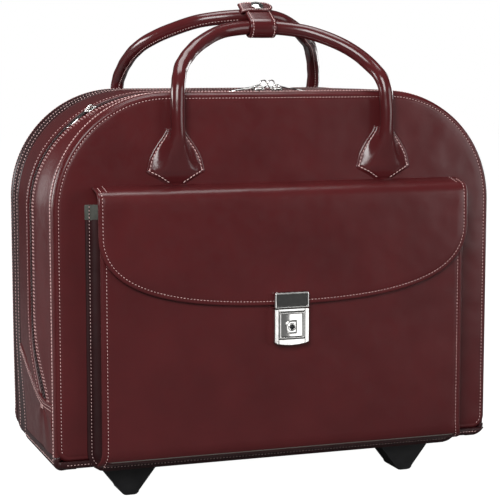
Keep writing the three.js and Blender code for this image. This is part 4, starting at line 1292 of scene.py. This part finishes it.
def strap():
    tilt = belt("wrap_front_leather", FRONT_MIDDLE, math.pi / 2, 61.0, "front_handle", ["handle_wrap"])
    belt("wrap_rear_leather", REAR_MIDDLE, -math.pi / 2, 61.6, "rear_handle", ["wrap_tongue"])
    along = np.array([0, math.cos(tilt), math.sin(tilt)])
    out = np.array([0, -math.sin(tilt), math.cos(tilt)])
    top = REAR_MIDDLE + out * (TUBE + 3.1)
    # the tongue that the snap holds down, over the top of the strap
    u = np.linspace(-1, 1, 30)
    width = 8.2
    outline = [(-17, -width), (-17, width), (7, width)]
    outline += [(7 + width * math.sin(a), width * math.cos(a)) for a in np.linspace(0.1, math.pi - 0.1, 14)]
    outline += [(7, -width)]
    edge = resample(np.array(outline), 1.0, closed=True)
    normal = outline_normals(edge)

    def place(a, b, height):
        curl = 0.02 * np.clip(-a - 7, 0, 20) ** 2
        flat = top + along * np.expand_dims(b, -1) * 0.9 + out * np.expand_dims(1.5 + height + 0 * a, -1)
        flat[..., 0] += a
        return flat - out * np.expand_dims(curl, -1)

    profile = ((0, -1.0), (0.2, -0.3), (0.6, 0.0), (1.4, 0.05), (2.0, -0.15), (2.7, 0.05))
    make("wrap_tongue_leather", *sheet(edge, normal, profile, place, 1.3, 1.6), "rear_handle", "handle_leather")
    inner = edge - normal * 2.0
    stitches("tongue_stitching", place(inner[:, 0], inner[:, 1], 0.0), out, 2.4, (0.9, 0.36, 0.36), closed=True)
    sew("tongue_stitching", "rear_handle")
    dome = [(0.0, 0.0), (0.0, 5.6), (0.35, 6.0), (0.9, 6.0), (1.2, 5.6), (1.3, 4.9), (1.15, 4.4), (1.5, 3.6),
            (1.85, 2.4), (2.0, 1.2), (2.05, 0.0)]
    dome_points, dome_faces = turned(dome, 40)
    origin = top + out * 1.6
    make("snap_cap_nickel", placed(dome_points, origin, out, (1, 0, 0)), dome_faces, "rear_handle", "nickel",
         ["snap_cap"])


handles()
strap()


# ---------- zip sliders and pulls ----------
CORNER_TURN = math.radians(33)  # the corner slider's place, left of vertical round the corner


def local_frame(which):
    """Origin on the hide, direction the pull lies in, and outward direction, of a zip slider."""
    if which == "corner":
        sin, cos = math.sin(CORNER_TURN), math.cos(CORNER_TURN)
        centre = np.array([-HALF + TOP_RADIUS, CORNER_SLIDER_Y, HEIGHT - TOP_RADIUS])
        return centre + TOP_RADIUS * np.array([-sin, 0, cos]), np.array([-cos, 0, -sin]), np.array([-sin, 0, cos])
    low, high = span("slider_top_" + which)
    side = -1 if which == "left" else 1
    return np.array([(low[0] + high[0]) / 2, ZIP_TOP_Y, HEIGHT]), np.array([side, 0, 0]), np.array([0, 0, 1])


def into_place(points, which, droop=0.0, pivot=(0, 0)):
    """Local x along the pull, y across and z outwards, turned down by droop about a pivot (x, z)."""
    origin, along, out = local_frame(which)
    p = np.array(points, float).reshape(-1, 3)
    x, z = p[:, 0] - pivot[0], p[:, 2] - pivot[1]
    turned_x = x * math.cos(droop) + z * math.sin(droop) + pivot[0]
    turned_z = -x * math.sin(droop) + z * math.cos(droop) + pivot[1]
    across = np.cross(out, along)
    return origin + turned_x[:, None] * along + p[:, 1:2] * across + turned_z[:, None] * out


def pulls():
    for which, node_name in (("left", "top_left"), ("right", "top_right"), ("corner", "corner")):
        plan = [(-5.4, -2.6), (-5.4, 2.6), (-3.4, 4.3), (3.2, 4.3), (5.4, 2.2), (5.4, -2.2), (3.2, -4.3),
                (-3.4, -4.3)]
        plan = resample(np.array(plan, float), 0.7, closed=True)
        normal = outline_normals(plan)

        def cap(a, b, height):
            return np.stack([a, b, 3.6 + height + 0 * a], -1)

        profile = ((0, -1.2), (0.1, -0.7), (0.45, -0.25), (0.9, -0.05), (1.6, 0.1), (2.4, 0.15))
        top_points, top_faces = sheet(plan, normal, profile, cap, 1.9, 1.2)
        lower, lower_faces = sheet(plan, normal, ((0, -0.6), (0.2, -0.15), (0.6, 0)),
                                   lambda a, b, h: np.stack([a, b, 1.3 + h], -1), 0.9, 2)
        post = block((-1.6, -1.4, 1.0), (1.4, 1.4, 3.2))
        bridge = []
        for t in np.linspace(0, math.pi, 12):
            bridge.append((-0.2 + 3.0 * -math.cos(t), 0, 3.3 + 3.2 * math.sin(t) ** 0.8))
        bar_points, bar_faces, _ = sweep(bridge, lambda i, a: 0.75 + 0.0 * i * a, 10, (0, 1, 0))
        parts = [(top_points, top_faces), (lower, lower_faces), post, (bar_points, bar_faces)]
        if which != "corner":  # the two top sliders have a ring for a padlock
            ring = [(3.3 * math.cos(t) - 5.7, 0, 7.6 + 3.3 * math.sin(t)) for t in np.linspace(0, 2 * math.pi, 33)]
            parts.append(sweep(ring, lambda i, a: 0.6 + 0.0 * i * a, 10, (0, 1, 0))[:2])
            parts.append(block((-6.6, -0.8, 2.0), (-4.6, 0.8, 4.4)))
        parts = merged(parts)
        make("slider_%s_nickel" % node_name, into_place(parts[0], which), parts[1], "slider_" + node_name, "nickel",
             ["slider_" + node_name])
        # the leaf: a long pull, waisted near its loop, with a groove down the middle
        length, widest = 26.0, 4.3
        x = np.linspace(0, 1, 40)
        half = widest * (0.62 + 0.38 * smooth((x - 0.12) / 0.45)) * np.sqrt(np.clip(1 - x**5.5, 0, 1))
        half[0] = 2.0
        edge = np.vstack([np.stack([2.0 + length * x, half], -1), np.stack([2.0 + length * x, -half], -1)[::-1]])
        edge = resample(edge, 0.8, closed=True)
        normal = outline_normals(edge)

        def leaf(a, b, height):
            groove = 0.35 * np.exp(-((b / 0.8) ** 2)) * smooth((a - 8) / 3) * smooth((25 - a) / 3)
            return np.stack([a, b, 5.6 + height - groove * (height > -0.3)], -1)

        profile = ((0, -0.9), (0.05, -0.5), (0.25, -0.12), (0.6, 0.0), (1.1, -0.02), (1.3, -0.2), (1.8, -0.22))
        blade = sheet(edge, normal, profile, leaf, 1.3, 0.9)
        ring = [(2.6 * math.cos(t) + 2.4, 2.2 * math.sin(t), 5.2) for t in np.linspace(0, 2 * math.pi, 25)]
        loop = sweep(ring, lambda i, a: 0.7 + 0.0 * i * a, 10, (0, 0, 1))[:2]
        parts = merged([blade, loop])
        body = "pull_" + node_name
        make("pull_%s_nickel" % node_name, into_place(parts[0], which, math.radians(9), (2.0, 5.2)), parts[1], body,
             "nickel", [body])


# ---------- feet, wheels and trolley ----------
def plain_parts():
    """CAD pieces whose shape is right: rounded edges and their material."""
    looks = {"front_foot": ("black_plastic", 1.6), "wheel_housing": ("black_plastic", 1.0),
             "axle": ("aluminium", 0.4), "trolley_outer": ("aluminium", 0.3), "trolley_middle": ("aluminium", 0.3),
             "trolley_inner": ("aluminium", 0.3), "trolley_bezel": ("black_plastic", 0.8),
             "trolley_grip": ("black_plastic", 2.6), "grip_button": ("black_plastic", 0.8)}
    for name in frame["nodes"]:
        for start, (finish, width) in looks.items():
            if name.startswith(start):
                obj = bpy.data.objects[name]
                obj.data.materials.clear()
                obj.data.materials.append(MATERIALS[finish])
                soften(obj, width, 4)


def wheels():
    for name in ("left", "right"):
        low, high = span("wheel_tyre_" + name)
        centre = (low + high) / 2
        radius, half = (high[2] - low[2]) / 2, (high[0] - low[0]) / 2
        hub_low, hub_high = span("wheel_hub_" + name)
        hub = (hub_high[2] - hub_low[2]) / 2
        tread = [(-half + 1.2, hub + 0.6), (-half, hub + 1.4), (-half, radius - 3.5), (-half + 0.5, radius - 1.6),
                 (-half + 1.8, radius - 0.4)]
        for groove in (-3.2, 0, 3.2):
            tread += [(groove - 0.9, radius), (groove - 0.6, radius - 1.1), (groove + 0.6, radius - 1.1),
                      (groove + 0.9, radius)]
        tread += [(half - 1.8, radius - 0.4), (half - 0.5, radius - 1.6), (half, radius - 3.5), (half, hub + 1.4),
                  (half - 1.2, hub + 0.6)]
        points, faces = turned(tread, 96)
        make("tyre_" + name, points + centre, faces, "wheel_" + name, "rubber", ["wheel_tyre_" + name])
        axle = 2.8
        wide = (hub_high[0] - hub_low[0]) / 2
        rim = [(-wide + 1.5, hub + 0.2), (wide - 1.5, hub + 0.2), (wide - 0.4, hub - 0.6), (wide - 0.4, hub - 2.6),
               (wide - 2.5, hub - 3.4), (-wide + 2.5, hub - 3.4), (-wide + 0.4, hub - 2.6), (-wide + 0.4, hub - 0.6)]
        boss = [(-wide, axle), (-wide, 5.2), (-wide + 0.6, 5.8), (wide - 0.6, 5.8), (wide, 5.2), (wide, axle)]
        parts = [turned(rim, 72), turned(boss, 48)]
        for k in range(6):
            turn = k * math.pi / 3
            spoke_points, spoke_faces = block((-wide + 2.6, -1.6, 5.0), (wide - 2.6, 1.6, hub - 2.8))
            y = spoke_points[:, 1] * math.cos(turn) - spoke_points[:, 2] * math.sin(turn)
            z = spoke_points[:, 1] * math.sin(turn) + spoke_points[:, 2] * math.cos(turn)
            parts.append((np.stack([spoke_points[:, 0], y, z], -1), spoke_faces))
        points, faces = merged(parts)
        obj = make("hub_" + name, points + centre, faces, "wheel_" + name, "black_plastic", ["wheel_hub_" + name])
        soften(obj, 0.4, 3)


def trolley():
    low, high = span("trolley_cover")
    half, back = high[0], high[1]
    bottom, top = low[2], high[2]
    section = [(half + 5.5, DEPTH + 0.6), (half + 5.3, DEPTH + 1.6), (half + 2.4, DEPTH + 1.9),
               (half + 0.4, DEPTH + 2.3), (half - 0.4, DEPTH + 4.4), (half - 0.8, back - 6), (half - 2.4, back - 2.2),
               (half - 5.5, back - 0.4), (half - 9, back - 0.35), (half - 10.5, back - 0.75), (half - 12, back - 0.3)]
    right = np.array(section)
    middle = np.stack([np.linspace(half - 16, -half + 16, 24), np.full(24, back)], -1)
    rows = np.vstack([right, middle, right[::-1] * [-1, 1]])
    tangent = np.gradient(rows, axis=0)
    tangent /= np.linalg.norm(tangent, axis=1)[:, None]
    within = rows + 1.5 * np.stack([tangent[:, 1], -tangent[:, 0]], -1) * -1
    z = np.concatenate([[bottom, bottom + 0.4, bottom + 1.4], np.linspace(bottom + 5, top - 5, 60), [top - 1.2, top - 0.3, top]])
    shrink = np.concatenate([[1.6, 0.7, 0.2], np.zeros(60), [0.1, 0.5, 1.2]])
    grids = []
    for base in (rows, within):
        grid = np.empty((len(z), len(rows), 3))
        grid[..., 0] = base[:, 0]
        grid[..., 1] = base[:, 1] - shrink[:, None] * (base[:, 1] > DEPTH + 4)
        grid[..., 2] = z[:, None]
        grids.append(grid)
    lift = rear_round(np.stack([0 * z, np.full_like(z, DEPTH), z], -1))[:, 2] - z
    for grid in grids:
        near = np.clip((DEPTH + 6 - grid[..., 1]) / 4, 0, 1)
        grid[..., 1] -= near * 0.3
    make("trolley_cover_leather", *slab(*grids), "rear_shell", "leather", ["trolley_cover"])
    floor = np.stack(np.meshgrid(np.linspace(-half + 1.6, half - 1.6, 20), np.linspace(DEPTH - 18, back - 1.4, 10),
                                 indexing="ij") + [np.full((20, 10), bottom + 1.0)], -1)
    make("trolley_cover_base", *slab(floor, floor + [0, 0, 1.4]), "rear_shell", "leather_dark")
    for side in (-1, 1):
        run = np.linspace(bottom + 4, top - 4, 80)
        for x, y, out in ((half + 3.9, DEPTH + 1.85, (0, 1, 0)), (half - 10.5, back - 0.7, (0, 1, 0))):
            stitches("trolley_cover_stitching", np.stack([side * x + 0 * run, y + 0 * run, run], -1), out)
    across = np.linspace(-half + 12, half - 12, 60)
    for z_row in (bottom + 8, top - 8):
        stitches("trolley_cover_stitching", np.stack([across, back + 0.05 + 0 * across, z_row + 0 * across], -1),
                 (0, 1, 0))
    sew("trolley_cover_stitching", "rear_shell")


pulls()
plain_parts()
wheels()
trolley()


# ---------- lining, boards and compartments ----------
def cloth_panel(name, outline, y, side, body, hides, thickness=1.2, dome=0.0, bound=True):
    """A lined or padded panel facing side (-1 forwards, 1 backwards) at depth y."""
    s, edge, normal = outline.ring(3.0)
    middle = (edge.max(0) + edge.min(0)) / 2
    half = (edge.max(0) - edge.min(0)) / 2

    def place(a, b, height):
        swell = dome * np.clip(1 - ((a - middle[0]) / half[0]) ** 4, 0, 1) * np.clip(1 - ((b - middle[1]) / half[1]) ** 4, 0, 1)
        points = np.stack([a, y + side * (height + swell), b + 0 * a], -1)
        return rear_round(points)

    profile = ((0, -0.8), (0.3, 0.0), (1.2, 0.5), (3.5, 0.5), (4.6, 0.1), (5.2, -0.2), (7, 0.1)) if bound else \
        ((0, -0.8), (0.3, -0.2), (1.0, 0.0))
    return make(name, *sheet(edge, normal, profile, place, thickness, 9), body, "lining", hides)


def lining():
    inset = 4.5
    front = Outline(HALF - inset, BASE_STRIP + 2, HEIGHT - inset, TOP_RADIUS - inset, 8)
    back = Outline(HALF - inset, 5, HEIGHT - inset, TOP_RADIUS - inset, 8)
    cloth_panel("front_lining", front, 4.6, 1, "front_shell", ["front_board"], bound=False)
    cloth_panel("rear_lining", back, DEPTH - 5.0, -1, "rear_shell", ["rear_board"], bound=False)
    s = over_top(ZIP_LOW_Z, 5.0)
    zip_line = zip_y(s)
    hide_band("front_gusset_lining", s, [(5.6, -3.4)] + [(5.6 + (zip_line - 12.6) * f, -3.4) for f in (0.33, 0.66)]
              + [(zip_line - 7, -3.4)], "front_shell", "lining", wall=0.9)
    hide_band("rear_gusset_lining", s, [(zip_line + 7, -3.4)]
              + [(zip_line + 7 + (DEPTH - 13 - zip_line) * f, -3.4) for f in (0.25, 0.5, 0.75)] + [(DEPTH - 6, -3.4)],
              "rear_shell", "lining", wall=0.9)
    low = np.linspace(-UNDER, SIDE_PANEL_TOP - BOTTOM_RADIUS, 30)
    y = [(16.5, -3.4)] + between(16.5, DEPTH - 6, 12, -3.4) + [(DEPTH - 6, -3.4)]
    hide_band("side_lining_left", low, y, "rear_shell", "lining", wall=0.9)
    hide_band("side_lining_right", CASE.end - low, y, "rear_shell", "lining", wall=0.9)
    half = HALF - BOTTOM_RADIUS + 1
    x = np.linspace(-half, half, 40)
    depth = np.concatenate([[8], np.linspace(12, DEPTH - REAR_ROUND, 12), np.linspace(DEPTH - REAR_ROUND, DEPTH - 6, 12)[1:]])
    grid = np.stack(np.meshgrid(x, depth, indexing="ij") + [np.full((40, len(depth)), 3.4)], -1)
    make("base_lining", *slab(rear_round(grid + [0, 0, 1.0]), rear_round(grid)), "rear_shell", "lining",
         ["base_board"])


def fan_gussets():
    """Cloth that joins the two shells inside each side, a fan gusset on the case; here it is built closed and rides on
    no body.
    """
    for name, mirror in (("left", False), ("right", True)):
        z = np.linspace(ZIP_LOW_Z + 12, HEIGHT - TOP_RADIUS - 8, 40)
        s = z - BOTTOM_RADIUS
        line = zip_y(s)
        s = CASE.end - s if mirror else s
        rows = [(line - 11, -4.6), (line - 7, -5.4), (line - 3, -6.4), (line, -6.0), (line + 3, -6.4), (line + 7, -5.4),
                (line + 11, -4.6)]
        y = np.stack([r[0] for r in rows], -1)
        out = np.stack([np.full(s.shape, r[1]) for r in rows], -1)
        fine = np.linspace(0, 6, 37)
        y = np.stack([np.interp(fine, np.arange(7), row) for row in y])
        out = np.stack([np.interp(fine, np.arange(7), row) for row in out])
        obj = make("fan_gusset_" + name, *slab(hide(s[:, None], y, out), hide(s[:, None], y, out - 0.7)), None,
                   "lining")
        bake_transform(obj)


def compartments():
    low, high = span("compartment_divider")
    outline = Outline(high[0], low[2] + 1, high[2], TOP_RADIUS - 12, 6)
    middle = (low[1] + high[1]) / 2
    cloth_panel("divider_front", outline, middle - 0.9, -1, "rear_shell", ["compartment_divider"], 0.8, 0.8)
    cloth_panel("divider_back", outline, middle + 0.9, 1, "rear_shell", [], 0.8, 0.8)
    low, high = span("laptop_sleeve")
    half, bottom, top = high[0], low[2], high[2]
    pad = Outline(half - 1, bottom + 1, top, 14, 10)

    def quilt(side, y):
        s, edge, normal = pad.ring(3.0)

        def place(a, b, height):
            channel = np.abs(np.sin((b - bottom) * math.pi / 43.0))
            edge_room = np.clip((half - 9 - np.abs(a)) / 10, 0, 1) * np.clip((b - bottom - 8) / 10, 0, 1)
            puff = 1.7 * channel**0.45 * edge_room * np.clip((top - 10 - b) / 8, 0, 1) * (height > -0.5)
            return np.stack([a, y + side * (height + puff), b + 0 * a], -1)

        profile = ((0, -0.9), (0.3, 0.1), (1.4, 0.8), (4.2, 0.8), (5.4, 0.2), (6.2, -0.1), (8, 0.1))
        return sheet(edge, normal, profile, place, 2.6, 4)

    make("sleeve_front_pad", *quilt(-1, low[1] + 3.0), "rear_shell", "lining", ["laptop_sleeve"])
    make("sleeve_back_pad", *quilt(1, high[1] - 3.0), "rear_shell", "lining")
    path = [(-half + 2, z) for z in np.linspace(top - 4, bottom + 11, 40)]
    path += [(-half + 11 - 9 * math.cos(a), bottom + 11 - 9 * math.sin(a)) for a in np.linspace(0, math.pi / 2, 8)[1:]]
    path = resample(np.array(path + [(-x, z) for x, z in path[::-1]]), 4.0)
    out = -outline_normals(path)
    out[0], out[-1] = (-1, 0), (1, 0)
    y = np.linspace(low[1] + 4, high[1] - 4, 14)
    fold = 0.6 * np.sin(np.linspace(0, math.pi, 14))
    grids = []
    for shift in (0.0, -1.6):
        grid = path[:, None] + out[:, None] * (fold + shift)[None, :, None]
        grids.append(np.insert(grid, 1, np.broadcast_to(y, grid.shape[:2]), axis=2))
    make("sleeve_gusset", *slab(*grids), "rear_shell", "lining")
    # the strap that holds the laptop in
    u = np.linspace(0, 1, 50)
    arch = np.stack([0 * u, low[1] + 2 + (high[1] - low[1] - 4) * u, top - 14 + 20 * np.sin(math.pi * u) ** 0.6], -1)
    width = np.array([-16, -15.6, -14, 14, 15.6, 16])
    lift = np.array([0.2, 0.8, 1.1, 1.1, 0.8, 0.2])
    band = arch[:, None] + np.stack([width, 0 * width, lift], -1)[None]
    under = arch[:, None] + np.stack([width, 0 * width, 0 * width], -1)[None]
    make("sleeve_strap", *slab(band, under), "rear_shell", "black_webbing")
    # inside the front pocket
    low, high = span("pocket_organiser")
    outline = Outline(high[0], low[2], high[2], 5, 5)
    cloth_panel("organiser_panel", outline, high[1] - 0.6, -1, "front_shell", ["pocket_organiser"], 0.9, 0.3)
    for name, x0, x1, z1 in (("card_pocket", -140, -20, 92), ("phone_pocket", -8, 62, 112), ("pen_pocket", 74, 104, 128),
                             ("pen_pocket_right", 110, 140, 128)):
        slot = Outline((x1 - x0) / 2, low[2] + 8, z1, 3, 3)
        s, edge, normal = slot.ring(2.0)

        def place(a, b, height, middle=(x0 + x1) / 2, y=low[1]):
            return np.stack([a + middle, y - 0.6 - height, b + 0 * a], -1)

        make(name, *sheet(edge, normal, ((0, -0.9), (0.3, -0.1), (1.0, 0.35), (3.0, 0.35), (3.9, 0.0), (5, 0.1)),
                          place, 0.6, 8), "front_shell", "lining")
    inner = Outline(POCKET_HALF - 3, POCKET_LOW[2] + 4, POCKET_HIGH[2] - 3, 2, 9)
    cloth_panel("pocket_lining", inner, POCKET_HIGH[1] + 0.4, 1, "front_shell", [], 0.5, bound=False)


lining()
fan_gussets()
compartments()
# ---------- stage, light and camera ----------
def area(name, place, target, size, power, colour=(1, 1, 1), size_y=None):
    lamp = bpy.data.lights.new(name, "AREA")
    lamp.energy = power
    lamp.color = colour
    lamp.size = size
    if size_y:
        lamp.shape = "RECTANGLE"
        lamp.size_y = size_y
    obj = bpy.data.objects.new(name, lamp)
    obj.location = world(place)
    aim = Vector(world(target)) - obj.location
    obj.rotation_euler = aim.to_track_quat("-Z", "Y").to_euler()
    bpy.context.scene.collection.objects.link(obj)
    return obj


def stage():
    mesh = bpy.data.meshes.new("floor")
    size = 6.0
    z = world((0, 0, FLOOR)).z
    mesh.from_pydata([(-size, -size, z), (size, -size, z), (size, size, z), (-size, size, z)], [], [(0, 1, 2, 3)])
    floor = bpy.data.objects.new("floor", mesh)
    bpy.context.scene.collection.objects.link(floor)
    material = bpy.data.materials.new("floor")
    material.use_nodes = True
    tree = material.node_tree
    bsdf = tree.nodes["Principled BSDF"]
    bsdf.inputs["Base Color"].default_value = rgb(0.92, 0.92, 0.92)
    bsdf.inputs["Roughness"].default_value = 0.9
    bsdf.inputs["Specular IOR Level"].default_value = 0.0
    glow = node(tree, "ShaderNodeEmission", {"Color": rgb(1, 1, 1), "Strength": 1.25}).outputs[0]
    blend = node(tree, "ShaderNodeMixShader", {0: 0.8, 1: bsdf.outputs[0], 2: glow}).outputs[0]
    dim = node(tree, "ShaderNodeBsdfDiffuse", {"Color": rgb(0.2, 0.2, 0.2)}).outputs[0]
    seen = node(tree, "ShaderNodeLightPath").outputs["Is Camera Ray"]
    final = node(tree, "ShaderNodeMixShader", {0: seen, 1: dim, 2: blend}).outputs[0]
    tree.links.new(final, tree.nodes["Material Output"].inputs["Surface"])
    mesh.materials.append(material)

    surround = bpy.data.worlds.new("surround")
    bpy.context.scene.world = surround
    surround.use_nodes = True
    tree = surround.node_tree
    back = tree.nodes["Background"]
    seen = node(tree, "ShaderNodeLightPath").outputs["Is Camera Ray"]
    back.inputs["Color"].default_value = rgb(1, 1, 1)
    tree.links.new(remap(tree, seen, 0.055, 1.0, 0.0, 1.0), back.inputs["Strength"])


def lights():
    area("key", (-900, -1500, 1100), (0, 60, 170), 0.9, 25)
    area("fill", (1520, -1330, 500), (0, 60, 170), 1.1, 9)
    area("top", (0, 100, 1500), (0, 60, 200), 0.9, 9, size_y=0.7)
    area("rear", (1500, 950, 420), (0, 100, 170), 0.8, 10)
    area("strip", (-1450, 750, 480), (0, 60, 300), 0.7, 11, size_y=0.5)
    card = area("card", (327, -671, 30), (0, -30, 125), 0.2, 0.13, size_y=0.125)
    card.visible_camera = False
    metal = bpy.data.collections.new("polished metal")
    for obj in bpy.context.scene.objects:
        if obj.type == "MESH" and MATERIALS["nickel"].name in obj.data.materials:
            metal.objects.link(obj)
    card.light_linking.receiver_collection = metal


def camera():
    lens = bpy.data.cameras.new("camera")
    lens.sensor_width = 36.0
    lens.lens = 116.65
    lens.clip_start = 0.05
    obj = bpy.data.objects.new("camera", lens)
    obj.location = world((-515.5, -1372.6, 362.7))
    obj.rotation_euler = Vector((0.3313, 0.9360, -0.1187)).to_track_quat("-Z", "Y").to_euler()
    bpy.context.scene.collection.objects.link(obj)
    bpy.context.scene.camera = obj


stage()
lights()
camera()
bpy.context.scene.view_settings.view_transform = "Standard"
bpy.context.scene.view_settings.look = "None"
